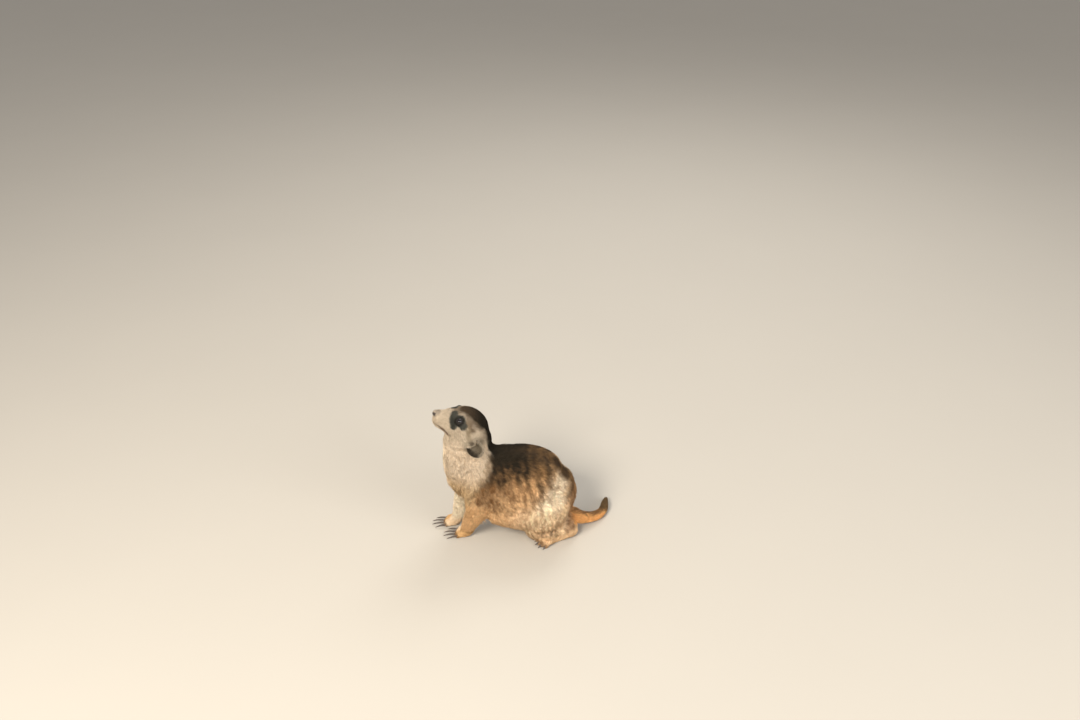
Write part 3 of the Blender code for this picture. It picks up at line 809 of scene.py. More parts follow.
def coat_fields(points, normals, edges):
    """What the coat does at each point of the outline: the way it lies, its depth, tuft length, width and
    density, and its zone. Each part weighs in by exp(-4 * (distance / radius)^2) from its path. Round the
    eyes, nose and mouth the hair is shorter, and it leaves the eyes and nose on all sides."""
    count = len(points)
    total = np.zeros(count)
    lie = np.zeros((count, 3))
    values = np.zeros((count, 4))
    zone_weight = np.zeros((count, len(ZONES)))
    for kind, rows, sign in coat_paths():
        rows = spline(rows, 5)
        tangents = unit(np.gradient(rows[:, :3], axis=0))
        radius = rows[:, 3:].mean(1)
        best = np.full(count, np.inf)
        place = np.zeros(count, int)
        for i, row in enumerate(rows):
            gap = ((points - row[:3]) ** 2).sum(1) / radius[i] ** 2
            place = np.where(gap < best, i, place)
            best = np.minimum(best, gap)
        weight = np.exp(-4 * best) + 1e-12
        share = place / (len(rows) - 1)
        run = hair_run(kind, tangents[place], normals, sign)
        lie += weight[:, None] * laid(run, normals)
        zone, *growth = GROWTH[kind]
        for i, (start, finish) in enumerate(growth):
            values[:, i] += weight * (start + (finish - start) * share)
        zone_weight[:, ZONES.index(zone)] += weight
        total += weight
    values /= total[:, None]
    lie = spread(unit(lie), edges, LIE_PASSES)
    values = spread(values, edges, FIELD_PASSES)
    head = to_head(points)
    for sign in (1, -1):
        axis, gap, away = from_gaze(head, sign)
        near = np.exp(-((np.maximum(gap - 4.0, 0) / 2.6) ** 2)) * ease(-1, 2, axis)
        lie += (1.3 * near)[:, None] * (away @ head_axes().T)
        values[:, 1] *= 1 - 0.45 * near
        values[:, 0] *= 1 - 0.4 * near
    away = head - NOSE_PAD_PLACE
    gap = np.linalg.norm(away, axis=1)
    near = np.exp(-((np.maximum(gap - 3.8, 0) / 2.2) ** 2))
    lie += (3.0 * near)[:, None] * (unit(away) @ head_axes().T)
    mouth, _ = to_line(own_side(head), MOUTH_LINE)
    near = np.maximum(near, ease(3.5, 0.8, mouth))
    values[:, 1] *= 1 - 0.45 * near
    lie = laid(lie, normals)
    return lie, values, zone_weight.argmax(1)


def own_side(points):
    """Head places folded onto the animal's left side."""
    folded = points.copy()
    folded[:, 0] = np.abs(folded[:, 0])
    return folded


def from_gaze(head, sign):
    """For head places and one eye: how far along its gaze, how far from the gaze's line, and which way."""
    flip = mirror(sign)
    gaze = unit(EYE_GAZE * flip)
    away = head - EYE_PLACE * flip
    axis = away @ gaze
    away = away - axis[:, None] * gaze
    gap = np.linalg.norm(away, axis=1)
    return axis, gap, away / np.maximum(gap, 1e-6)[:, None]


def sculpt_head(points, normals):
    """The face's own relief, as a move along the normal for each point: an eye socket under a brow, a
    whisker pad, a chin, and a mouth and lip groove. Each is a height times exp(-(distance / radius)^2)."""
    head = own_side(to_head(points))
    move = np.zeros(len(head))
    for centre, radii, height in FACE_RELIEF:
        move += height * np.exp(-(((head - centre) / radii) ** 2).sum(1))
    mouth, _ = to_line(head, MOUTH_LINE)
    philtrum, _ = to_line(head, PHILTRUM)
    move -= 0.85 * np.exp(-((mouth / 0.75) ** 2))
    move += 0.35 * np.exp(-(((mouth - 1.9) / 1.1) ** 2))
    move -= 0.5 * np.exp(-((philtrum / 0.6) ** 2))
    near = ease(60, 45, head[:, 1]) * ease(-24, -14, head[:, 2])
    return points + normals * (move * near)[:, None]


def throat_swell(points, normals):
    """The fur that fills the throat, as a move along the normal: THROAT_FILL in front of the neck, and as
    much again in the notch under the jaw."""
    _, _, z = points.T
    ahead = ease(0.15, 0.8, -normals[:, 1]) * ease(13, 19, to_head(points)[:, 1])
    notch = np.exp(-(((z - 110) / 7) ** 2))
    return THROAT_FILL * ahead * (ease(66, 82, z) * ease(124, 114, z) + notch)


def open_eyes(points):
    """Draws the skin in behind each eyeball: inside a cone about the gaze, the distance from the eye's
    centre falls to 0.7 of its radius."""
    head = to_head(points)
    for sign in (1, -1):
        flip = mirror(sign)
        away = head - EYE_PLACE * flip
        reach = np.linalg.norm(away, axis=1)
        facing = away @ unit(EYE_GAZE * flip) / np.maximum(reach, 1e-6)
        share = ease(math.cos(math.radians(66)), math.cos(math.radians(50)), facing)
        share *= ease(2.6 * EYE_RADIUS, 1.9 * EYE_RADIUS, reach)
        wanted = np.where(share > 0, reach * (1 - share) + 0.70 * EYE_RADIUS * share, reach)
        head = EYE_PLACE * flip + away * (wanted / np.maximum(reach, 1e-6))[:, None]
    return in_head(head)


def sculpt_toes(points, normals):
    """Grooves between neighbouring toes: 1.2 * exp(-(distance / 1.3)^2) deep, along lines between them."""
    move = np.zeros(len(points))
    for _, paths, _, _ in all_feet():
        for (first, _), (second, _) in zip(paths, paths[1:]):
            line = (first + second) / 2 + np.array([0, 0, 1.5])
            gap, _ = to_line(points, line)
            move -= 1.2 * np.exp(-((gap / 1.3) ** 2))
    return points + normals * move[:, None]


# --------------------------------------------------------------------------------------------- the markings


def spine_places(points):
    """For each point, how far along the spine it is from the nape, and how far from the spine. Over the
    back the bands stand upright, so there a place is read from Y, and round the rump from the nearest
    point of the spine."""
    line = spline([(0.0, y, z) for y, z in SPINE], 4)
    gap, place = to_line(points, line)
    lengths = np.hstack([0, np.cumsum(np.linalg.norm(np.diff(line, axis=0), axis=1))])
    nearest = np.interp(place * (len(line) - 1), np.arange(len(line)), lengths)
    top = (line[:, 1] > -18) & (line[:, 1] < 56) & (line[:, 2] > 60)
    upright = np.interp(points[:, 1] - 0.16 * gap, line[top, 1], lengths[top])
    share = ease(-22, -10, points[:, 1]) * ease(50, 38, points[:, 1])
    return nearest * (1 - share) + upright * share, gap


def leg_middle(points):
    """How far the middle of the foreleg on a point's own side is from the middle plane, at its height."""
    heights = [12, 26, 42, 59, 79]
    left = np.interp(points[:, 2], heights, [12.5, 17, 21.5, 21, 15])
    right = np.interp(points[:, 2], heights, [7.5, 10, 15, 18.5, 15])
    return np.where(points[:, 0] > 0, left, right)


def body_markings(points):
    """The coat's colour on the body and legs: pale below, dark over the shoulders, banded across the back and
    rump, with flecks on the flanks and tan legs. Some of it is painted: light on the haunch, the lower thigh
    and the front of the chest, and shade behind the forelegs and on the back of the rump."""
    x, y, z = points.T
    out = np.abs(x)
    count = len(points)
    wander = noise(points, 9.0, 1) - 0.5
    fine = noise(points, 3.2, 2) - 0.5
    along, gap = spine_places(points + wander[:, None] * np.array([0, 3.0, 0]))
    gap = gap + 5 * fine + 5 * wander

    # Sand on the flank, paler and warmer towards the belly and haunch; on the lower thigh and the haunch part
    # of that paleness is painted light.
    colour = mix(even(TAN * 1.15, count), SAND, ease(82, 56, z + 6 * wander))
    low = 0.95 * ease(56, 38, z + 8 * wander) * ease(-12, 12, y)
    colour = mix(colour, PALE_SAND * [1.0, 0.92, 0.87], low)
    # Warm cream low on the thigh: partly the fur's colour, partly painted light that lifts the shade under the
    # belly.
    colour = mix(colour, [0.95, 0.64, 0.37], ease(44, 32, z) * ease(14, 22, y) * ease(52, 44, y))
    # A pale patch on the haunch: partly the fur's paler colour, partly a painted pool of light where the haunch
    # bulges out.
    ridge, _ = to_line(np.stack([out, y, z], 1), [(13, 48, 75), (24, 45, 66), (35, 38, 54), (42, 27, 42)])
    haunch = np.clip(1.5 * np.exp(-((ridge / 12.5) ** 2)) * (1 + 1.2 * wander + 0.5 * fine), 0, 1)
    haunch = haunch * ease(3, 17, out + 4 * wander + 3 * fine)
    paler = ease(86, 74, z) * (1 - 0.4 * ease(56, 44, z))
    colour = mix(colour, mix(even(SAND * 1.25, count), [1.0, 0.80, 0.55], paler), haunch)
    # The back of the rump: rust that is partly the fur's colour and partly painted shade on the side turned
    # from the light.
    rear = ease(51, 58, y + 2 * wander) * ease(6, 14, z) * ease(72, 60, z)
    colour = mix(colour, RUST * 0.9, 0.8 * rear)

    # Flecks, drawn out along the hair.
    fleck = noise(points * [0.6, 1.0, 0.28], 2.0, 3) + 0.24 * (noise(points, 5.0, 4) - 0.5)
    fleck = ease(0.49, 0.62, fleck)
    # Behind the foreleg: darker fur that is partly its flecks and partly painted shadow.
    shoulder = ease(-41, -35, y + 3 * wander) * ease(-8, -20, y + 5 * wander) * ease(84, 74, z)
    shoulder = shoulder * ease(34, 58, z + 9 * fine + 6 * wander) * ease(19, 24, out)
    zone = ease(16, 26, gap) * ease(78, 48, gap) * (1 - 0.6 * haunch) * ease(-34, -24, y)
    zone = np.maximum(np.maximum(0.65 * zone, 0.9 * rear), shoulder)
    high = ease(54, 70, z + 6 * wander) * ease(20, -6, y) * ease(-36, -29, y)
    colour = mix(colour, RUST * [0.55, 0.55, 0.52], np.maximum(shoulder * (0.7 + 0.3 * fleck), 0.5 * high))
    streaks = haunch * ease(0.60, 0.72, noise(points * [1.0, 1.0, 0.35], 2.4, 12))
    colour = mix(colour, RUST * [0.62, 0.60, 0.55], np.clip(fleck * zone + 0.45 * streaks, 0, 1) * 0.85)

    # The back: a brown ground, warm between the dark bands, and a dark saddle over the shoulders.
    ground = mix(even(TAN * [0.55, 0.50, 0.45], count), ORANGE * 0.36, ease(58, 78, along))
    ground = ground * mix(np.full((count, 1), 0.42), [1.45], ease(10, 36, gap))
    colour = mix(colour, ground, 0.88 * ease(40, 20, gap) * ease(126, 112, along) * (1 - 0.97 * haunch))
    phase = np.interp(along, BAND_PLACES, np.arange(len(BAND_PLACES)))
    phase = phase + 0.24 * wander + 0.16 * (noise(points * [0.5, 1.0, 0.3], 3.0, 15) - 0.5)
    band = 0.5 + 0.5 * np.cos(2 * math.pi * phase)
    broken = 0.5 + 0.5 * ease(0.28, 0.48, noise(points * [0.5, 1.0, 0.3], 4.0, 6))
    reach = ease(50, 30, gap) * ease(16, 30, along) * ease(132, 118, along) * (1 - 0.8 * haunch)
    colour = mix(colour, UMBER * [0.9, 0.8, 0.7], 0.97 * ease(0.26, 0.60, band) * reach * broken)
    saddle = ease(43, 25, gap) * ease(80, 52, along + 8 * fine)
    streak = ease(0.42, 0.75, noise(points * [1.0, 1.0, 0.22], 2.4, 5))
    saddle_colour = mix(even(DARK, count), UMBER * [1.5, 1.3, 1.1], streak * ease(8, 30, gap))
    colour = mix(colour, saddle_colour, saddle * (1 - 0.45 * streak * ease(12, 34, gap)))
    colour = mix(colour, UMBER, 0.4 * ease(12, 4, gap) * ease(112, 90, along))
    edge, _ = to_line(np.stack([out, y, z], 1), [(11, 32, 92), (10, 42, 84), (8, 52, 72)])
    colour = mix(colour, UMBER * 1.5, 0.38 * ease(9, 2, edge + 6 * fine))

    # Cream in front of a line that runs down the side of the neck and shoulder.
    front = np.interp(z, [40, 60, 71, 86, 96, 104, 118], [-46, -39.5, -30.5, -23, -21.5, -19.5, -17])
    behind = y - front + 5 * fine + 3 * wander
    cream = ease(3.0, -3.0, behind)
    nape = ease(10.5, 7.5, out + 2 * fine) * ease(-38, -30, y) * ease(70, 84, z) * ease(2, -12, y)
    side = ease(6, 15, out)
    chest = mix(even(RUFF, count), RUFF * 0.92, side)
    chest = mix(chest, RUFF * 1.05, ease(92, 104, z))
    chest = mix(chest, WARM_CREAM * [0.72, 0.66, 0.56], ease(86, 62, z) * (0.35 + 0.65 * side))
    # Painted light: the front of the chest, near the middle, is lightened by up to 1.22.
    chest = chest * mix(np.ones((count, 1)), [1.22], ease(14, 5, out))
    late = ease(-9.0, -2.0, behind) * ease(8, 14, out) * ease(52, 66, z)
    chest = mix(chest, chest * [0.55, 0.50, 0.44], late)
    colour = mix(colour, chest, cream * (1 - nape))
    colour = mix(colour, DARK, nape)
    under = ease(30, 14, z) * ease(24, 12, out) * ease(34, 14, y)
    colour = mix(colour, WARM_CREAM, 0.7 * under)

    # Legs and feet: tan outside, cream inside.
    fore = ease(56, 42, z + 3 * wander) * ease(-20, -28, y)
    inner = ease(2.5, -3.5, out - leg_middle(points) + 2 * fine)
    leg = mix(even(SAND * [1.0, 0.98, 0.94], count), [0.90, 0.74, 0.53], inner)
    colour = mix(colour, leg, fore)
    colour = mix(colour, SAND * [0.80, 0.76, 0.64], ease(13, 7, z) * ease(-20, -30, y) * (1 - 0.5 * inner))
    foot = ease(16, 9, z) * ease(18, 26, y) * ease(70, 60, y)
    colour = mix(colour, [0.82, 0.54, 0.29], 0.85 * foot)
    return colour


def tail_markings(points, colour):
    """The tail: orange sides and belly, a dark line along its top, and a brown tip."""
    rows = spline(TAIL, 4)
    gap, place = to_line(points, rows[:, :3])
    centre_height = np.interp(place * (len(rows) - 1), np.arange(len(rows)), rows[:, 2])
    radius = np.interp(place * (len(rows) - 1), np.arange(len(rows)), rows[:, 3])
    on_tail = ease(1.9, 1.3, gap / np.maximum(radius, 4.5)) * ease(56, 62, points[:, 1])
    rise = (points[:, 2] - centre_height) / radius
    top = ease(0.35, 0.85, rise + 0.5 * (noise(points, 2.4, 7) - 0.5))
    tail = mix(even(ORANGE * [1.2, 1.15, 1.1], len(points)), RUST * 0.42, 0.9 * top)
    tip = ease(0.54, 0.66, place + 0.07 * rise + 0.05 * (noise(points, 2.0, 8) - 0.5))
    tail = mix(tail, [0.145, 0.083, 0.034], tip)
    return mix(colour, tail, on_tail)


def head_markings(points, colour):
    """The face: cream, with a grey patch round each eye, a pale brow, a dark crown and nape, mottled temples,
    pale cheeks, and a painted shadow at the lip corner. Each edge is a distance to a line in head places."""
    head = own_side(to_head(points))
    wander = 2.2 * (noise(points, 4.0, 9) - 0.5) + 1.4 * (noise(points, 1.6, 10) - 0.5)
    out, back, up = head.T
    count = len(points)
    face = even(CREAM, count)
    face = mix(face, CREAM * [0.95, 0.94, 0.93], ease(36, 28, back))
    cheek = mix(even(RUFF * 0.95, count), RUFF * 1.15, ease(14, 6, out))
    face = mix(face, cheek, ease(1, -9, up) * ease(20, 38, back))

    # Temples: mottled brown between the brow and the ear.
    temple, _ = to_line(head, [(14.5, 30.0, 15.5), (17.8, 37.0, 15.0)])
    mottle = ease(0.35, 0.65, noise(points, 2.0, 11))
    brown = GREY_BROWN * [1.5, 1.35, 1.15]
    face = mix(face, brown, ease(5.6, 2.0, temple + wander) * (0.5 + 0.5 * mottle))
    below, _ = to_line(head, [(18.6, 32.0, 12.5), (21.6, 35.5, 9.5), (24.0, 38.5, 4.5)])
    face = mix(face, [0.27, 0.20, 0.115], 0.8 * ease(4.0, 0.6, below + wander) * (0.6 + 0.4 * mottle))

    # Crown and nape.
    width = np.interp(back, [16, 21, 27, 34, 44, 56, 66], [1.0, 5.0, 8.8, 12.4, 13.6, 9.8, 8.6])
    crown = ease(1.6, -1.6, out - width + wander) * ease(17, 21, back + 0.5 * wander) * ease(-2, 6, up)
    halo = ease(5.0, 0.5, out - width + 0.7 * wander) * ease(20, 25, back) * ease(4, 12, up)
    face = mix(face, brown * 0.8, 0.8 * halo * (0.75 + 0.25 * mottle))
    halo = ease(6.0, 2.0, out - width + wander) * ease(28, 34, back) * ease(46, 39, back) * ease(4, 12, up)
    face = mix(face, brown * 0.7, 0.9 * halo)
    brow = ease(12.5, 15.0, back + 0.4 * wander) * ease(9.0, 5.5, out) * ease(24, 20, back) * ease(6, 10, up)
    face = mix(face, brown * 0.85, 0.85 * brow)
    shade = mix(even(DARK, count), UMBER * 1.2, ease(44, 20, back))
    face = mix(face, shade, crown)

    # The patch round the eye, with a bar down its front and a prong behind, and the dark rim of its front.
    bar, _ = to_line(head, [(5.4, 15.8, 13.6), (9.6, 16.3, 9.8), (14.2, 19.6, 5.2)])
    ring = np.linalg.norm((head - [13.2, 20.8, 12.8]) / [1.0, 1.12, 1.0], axis=1)
    prong, _ = to_line(head, [(14.0, 22.0, 13.5), (17.4, 26.6, 12.0)])
    middle = np.linalg.norm(head - [13.0, 19.2, 9.4], axis=1)
    reach = np.minimum(np.minimum(bar + 2.9, ring), np.minimum(prong + 2.4, middle + 2.2))
    patch = ease(7.0, 6.0, reach + 0.35 * wander)
    face = mix(face, PATCH_GREY * 1.2, patch)
    face = mix(face, PATCH_GREY * 0.5, 0.7 * ease(2.6, 1.0, bar) * ease(3.6, 0.4, up - 9))
    _, rim, _ = from_gaze(head, 1)
    face = mix(face, DARK * 0.6, ease(5.2, 4.4, rim) * (out > 4))

    # Muzzle: a painted shadow at the lip corner, a darker line along the lips, and the dusk round the nose pad.
    mouth, place = to_line(head, MOUTH_LINE)
    # Painted shadow under the lip at the mouth's corner.
    corner = 0.85 * ease(2.6, 0.9, mouth + 0.4 * wander) * ease(0.60, 0.78, place)
    face = mix(face, LIP_AND_SHADOW_BROWN * [1.6, 1.35, 1.15], corner)
    face = mix(face, LIP_AND_SHADOW_BROWN * 0.6, 0.9 * ease(1.15, 0.6, mouth))
    nose = np.linalg.norm(head - [0, 1.6, 1.6], axis=1)
    face = mix(face, GREY_BROWN * 1.4, 0.7 * ease(6.2, 4.2, nose + 0.5 * wander))
    pad = np.linalg.norm((head - NOSE_PAD_PLACE) / NOSE_PAD_RADII, axis=1)
    face = mix(face, DARK * 0.5, ease(1.12, 1.0, pad))

    # Round the ear: a faint ring, and before it a dark notch that is painted shadow of the ear's opening.
    ear = head - EAR_PLACE
    ring = np.hypot(ear[:, 1], ear[:, 2])
    face = mix(face, CREAM * 0.5, 0.45 * ease(3.0, 0, np.abs(ring - 9)) * ease(14, 18, out))
    # Painted shadow where the ear opens.
    notch = np.hypot(ear[:, 1] + 5.2, ear[:, 2] - 2.2)
    face = mix(face, UMBER, 0.8 * ease(3.8, 1.2, notch + 0.5 * wander) * (out > 12))

    neck = ease(62, 50, back - 0.25 * up) * ease(-22, -12, up + 0.35 * back)
    on_head = neck * ease(78, 90, points[:, 2])
    return mix(colour, face, on_head)


def markings(points):
    """The colour of the coat at any table place, the same for the skin and for every tuft."""
    colour = tail_markings(points, body_markings(points))
    colour = head_markings(points, colour)
    toes = np.full(len(points), np.inf)
    for _, paths, _, _ in all_feet():
        for line, ahead in paths:
            toes = np.minimum(toes, np.linalg.norm(points - line[-1] - ahead * 1.0, axis=1))
    return mix(colour, RUST * 0.45, 0.8 * ease(3.6, 2.2, toes))


# -------------------------------------------------------------------------------------------- the materials


def new_material(name, roughness, colour=None, specular=0.35):
    """A material with a Principled shader, and its shader and tree."""
    made = bpy.data.materials.new(name)
    made.use_nodes = True
    tree = made.node_tree
    shader = tree.nodes["Principled BSDF"]
    shader.inputs["Roughness"].default_value = roughness
    shader.inputs["Specular IOR Level"].default_value = specular
    if colour is not None:
        shader.inputs["Base Color"].default_value = (*colour, 1)
    return made, shader, tree


def node(tree, kind, inputs=None, **settings):
    """A node with its settings, and its sockets set to values or linked from other sockets."""
    made = tree.nodes.new(kind)
    for name, value in settings.items():
        setattr(made, name, value)
    for name, value in (inputs or {}).items():
        if isinstance(value, bpy.types.NodeSocket):
            tree.links.new(value, made.inputs[name])
        else:
            made.inputs[name].default_value = value
    return made


def object_place(tree):
    """A socket of places on the object, in metres."""
    return node(tree, "ShaderNodeTexCoord").outputs["Object"]


def stored(tree, name, output="Fac"):
    """A socket of a value that the mesh stores."""
    return node(tree, "ShaderNodeAttribute", attribute_name=name).outputs[output]


def noise_on(tree, vector, scale, detail=3.0, roughness=0.55):
    return node(
        tree,
        "ShaderNodeTexNoise",
        {"Vector": vector, "Scale": scale, "Detail": detail, "Roughness": roughness},
    ).outputs["Fac"]


def ranged(tree, value, low, high, start=0.0, finish=1.0):
    """value taken from start..finish to low..high."""
    sockets = {"Value": value, "From Min": start, "From Max": finish, "To Min": low, "To Max": high}
    return node(tree, "ShaderNodeMapRange", sockets).outputs["Result"]


def times(tree, colour, factor):
    """A colour multiplied by a factor from a socket."""
    grey = node(tree, "ShaderNodeCombineColor", {"Red": factor, "Green": factor, "Blue": factor})
    made = node(tree, "ShaderNodeMix", data_type="RGBA", blend_type="MULTIPLY")
    made.inputs["Factor"].default_value = 1
    tree.links.new(colour, made.inputs["A"])
    tree.links.new(grey.outputs["Color"], made.inputs["B"])
    return made.outputs["Result"]


def blend_of(tree, factor, dark, pale):
    """A colour from dark to pale by a factor from a socket."""
    made = node(tree, "ShaderNodeMix", data_type="RGBA")
    made.inputs["A"].default_value = (*dark, 1)
    made.inputs["B"].default_value = (*pale, 1)
    tree.links.new(factor, made.inputs["Factor"])
    return made.outputs["Result"]


def coloured(tree, shader, colour, roughness=None):
    """Gives a shader its colour and roughness from sockets."""
    tree.links.new(colour, shader.inputs["Base Color"])
    if roughness is not None:
        tree.links.new(roughness, shader.inputs["Roughness"])


def bumped(tree, shader, height, strength, distance, invert=False):
    """Gives a shader bump from a height socket."""
    made = node(tree, "ShaderNodeBump", {"Strength": strength, "Distance": distance, "Height": height})
    made.invert = invert
    tree.links.new(made.outputs["Normal"], shader.inputs["Normal"])


def tuft_material():
    """The coat: the markings, broken into hairs along each tuft, with a soft sheen."""
    made, shader, tree = new_material("coat", 0.66, specular=0.05)
    shader.inputs["Sheen Weight"].default_value = 0.01
    shader.inputs["Sheen Roughness"].default_value = 0.45
    shader.inputs["Sheen Tint"].default_value = (1.0, 0.92, 0.82, 1)
    colour = stored(tree, "marking", "Color")
    place = object_place(tree)
    strand = node(tree, "ShaderNodeUVMap", uv_map="strand").outputs["UV"]
    hairs = noise_on(tree, strand, 1.0, 2.0)
    patches = noise_on(tree, place, 260.0, 2.0)
    colour = times(tree, colour, ranged(tree, hairs, 0.82, 1.16, 0.25, 0.75))
    colour = times(tree, colour, ranged(tree, patches, 0.92, 1.08, 0.3, 0.7))
    coloured(tree, shader, colour, ranged(tree, hairs, 0.50, 0.78))
    bumped(tree, shader, hairs, 0.5, 0.00008)
    return made


def skin_material():
    """The skin under the coat: the markings, with the grain of the underfur as bump."""
    made, shader, tree = new_material("skin", 0.7, specular=0.2)
    colour = stored(tree, "marking", "Color")
    place = object_place(tree)
    grain = noise_on(tree, place, 1500.0, 3.0)
    patches = noise_on(tree, place, 300.0, 3.0)
    colour = times(tree, colour, ranged(tree, grain, 0.82, 1.04, 0.3, 0.7))
    colour = times(tree, colour, ranged(tree, patches, 0.85, 1.1, 0.3, 0.7))
    coloured(tree, shader, colour, ranged(tree, patches, 0.62, 0.82))
    bumped(tree, shader, grain, 0.6, 0.0004)
    return made


# -------------------------------------------------------------------------------------------------- the coat


def scatter(points, triangles, density, rng):
    """Roots spread over triangles by area and density: the triangle of each and its three corner shares."""
    a, b, c = (points[triangles[:, i]] for i in range(3))
    area = np.linalg.norm(np.cross(b - a, c - a), axis=1) / 2
    mass = area * density[triangles].mean(1)
    total = np.cumsum(mass)
    count = int(total[-1])
    wanted = (np.arange(count) + rng.random(count)) * total[-1] / count
    face = np.minimum(np.searchsorted(total, wanted), len(triangles) - 1)
    root = np.sqrt(rng.random(count))
    turn = rng.random(count)
    return face, np.stack([1 - root, root * (1 - turn), root * turn], 1)


def picker(corner, shares):
    """A function that takes values at vertices to the roots, by the shares of their three corners."""

    def at(values):
        picked = np.asarray(values)[corner]
        return (picked * shares.reshape(*shares.shape, *[1] * (picked.ndim - 2))).sum(1)

    return at


def tuft_shapes(root, normal, lie, length, depth, width, bend, rng, clump=1.0):
    """Each tuft's seven points. Its middle line leaves the skin by root + L * (t * lie) + (H * (2t - t^2)
    - k * (L * t)^2 / 2) * normal, so that its tip lies over the skin at height H, k being how the skin
    bends. Three points ring it at t = 0 and t = 0.5 with a ridge on top, and one ends it at t = 1. The slope
    of a noise pulls the tips of neighbours together into locks."""
    count = len(root)
    across = np.cross(normal, lie)
    swing = TUFT_SWING * rng.standard_normal(count)
    swing = swing + SWIRL_SWING * (noise(root, SWIRL_SIZE, SWIRL_SEED) - 0.5)
    ahead = lie * np.cos(swing)[:, None] + across * np.sin(swing)[:, None]
    across = np.cross(normal, ahead)
    height = depth * (LEAST_RISE + RISE_SPREAD * rng.random(count))
    pull = np.zeros((count, 3))
    base = noise(root, LOCK_SIZE, LOCK_SEED)
    for axis in range(3):
        shift = np.zeros(3)
        shift[axis] = LOCK_STEP
        pull[:, axis] = (noise(root + shift, LOCK_SIZE, LOCK_SEED) - base) / LOCK_STEP
    pull -= (pull * normal).sum(1)[:, None] * normal
    pull *= (clump * LOCK_PULL * np.minimum(length, LONGEST_PULLED))[:, None] * 0.9

    def middle(t):
        run = length * t
        rise = height * (2 * t - t * t) - bend * run**2 / 2
        return root + ahead * run[:, None] + normal * rise[:, None] + pull * (t * t)

    points = np.empty((count, 7, 3))
    for i, (t, share) in enumerate(TUFT_RINGS):
        centre = middle(t) - normal * (ROOT_SINK * (t == 0))
        half = (width * share / 2)[:, None]
        points[:, 3 * i] = centre - across * half
        points[:, 3 * i + 1] = centre + across * half
        points[:, 3 * i + 2] = centre + normal * half * RIDGE
    points[:, 6] = middle(1.0)
    return points


def tuft_colours(points, rng):
    """Each tuft's colours: the markings two thirds along it, a little aside so that edges feather, darker at
    the root as painted shade, and a tip that is paler or darker from tuft to tuft."""
    count = len(points)
    place = 0.6 * points[:, 3:6].mean(1) + 0.4 * points[:, 6]
    base = markings(place + EDGE_FEATHER * rng.standard_normal((count, 3)))
    base = base * np.exp(SHADE_SPREAD * rng.standard_normal(count))[:, None]
    light = base.mean(1)
    dark_tip = (rng.random(count) < 0.25 * ease(0.46, 0.25, light)) & (light > DARK_FUR)
    tip = base * np.where(dark_tip, 0.55, 1.12)[:, None]
    pale_tip = (light < DARK_FUR) & (rng.random(count) < 0.07)
    tip = np.where(pale_tip[:, None], base * 2.2 + 0.01, tip)
    colours = np.empty((count, 7, 3))
    # Painted shade: the root ring is a little darker than the rest of the tuft.
    colours[:, 0:3] = (base * 0.98)[:, None]
    colours[:, 3:6] = base[:, None]
    colours[:, 6] = tip
    return np.clip(colours, 0.003, 0.95)


def coat_piece(name, points, colours, map_places, rng, slot, material):
    """One piece of coat, with its colours, the hairs' own map and the map for baking."""
    count = len(points)
    # Nothing reaches past the solids' box or under the floor.
    low = np.array(CAD_BOX[0]) / MM + MIDDLE + BOX_MARGIN
    high = np.array(CAD_BOX[1]) / MM + MIDDLE - BOX_MARGIN
    low[2] = COAT_FLOOR
    points = np.clip(points, low, high)
    faces = (np.arange(count)[:, None, None] * 7 + TUFT_FACES).reshape(-1, 3)
    mesh = fill_mesh(name, points.reshape(-1, 3), faces)
    give(mesh, "marking", "FLOAT_COLOR", with_alpha(colours.reshape(-1, 3)))
    turn = np.array([0.0, 1.0, 0.5] * 2 + [0.5])
    run = np.array([0.0, 0.0, 0.15, 0.5, 0.5, 0.65, 1.0])
    offset = rng.random((count, 2)) * 40
    strand = np.stack([offset[:, :1] + 5.0 * turn, offset[:, 1:] + 0.8 * run], -1).reshape(-1, 2)
    patch = BAKE_PATCH * (np.stack([turn, run], -1) - 0.5)
    baked = (map_places[:, None] + patch).reshape(-1, 2)
    for uv_name, places in (("OFBake", baked), ("strand", strand)):
        layer = mesh.uv_layers.new(name=uv_name)
        layer.data.foreach_set("uv", places[faces.ravel()].astype(np.float32).ravel())
    return piece(name, mesh, slot, material)


def grow(prefix, surface, rng, material, slot_of, most=MOST_TUFTS, clump=1.0):
    """Grows tufts over a surface, in pieces of one zone each. surface holds points, triangles, normals,
    fields and corner map places."""
    for zone in np.unique(surface["zone"]):
        triangles = surface["triangles"]
        mine = surface["zone"][triangles[:, 0]] == zone
        if not mine.any():
            continue
        mesh_part = triangles[mine]
        face, shares = scatter(surface["points"], mesh_part, surface["density"], rng)
        at = picker(mesh_part[face], shares)
        root, normal, lie = at(surface["points"]), unit(at(surface["normals"])), at(surface["lie"])
        lie = laid(lie, normal)
        length = at(surface["length"]) * (0.75 + 0.5 * rng.random(len(root)))
        width = at(surface["width"]) * (0.8 + 0.4 * rng.random(len(root)))
        points = tuft_shapes(
            root, normal, lie, length, at(surface["depth"]), width, at(surface["bend"]), rng, clump
        )
        colours = tuft_colours(points, rng)
        places = (surface["map"][mine][face] * shares[..., None]).sum(1)
        name = surface["names"][int(zone)]
        pieces = max(1, math.ceil(len(root) / most))
        order = np.argsort(-root[:, 0], kind="stable")
        for number, chosen in enumerate(np.array_split(order, pieces), 1):
            full = f"{prefix}_{name}_{number}" if pieces > 1 else f"{prefix}_{name}"
            tufts = points[chosen], colours[chosen], places[chosen]
            coat_piece(full, *tufts, rng, slot_of[name], material)


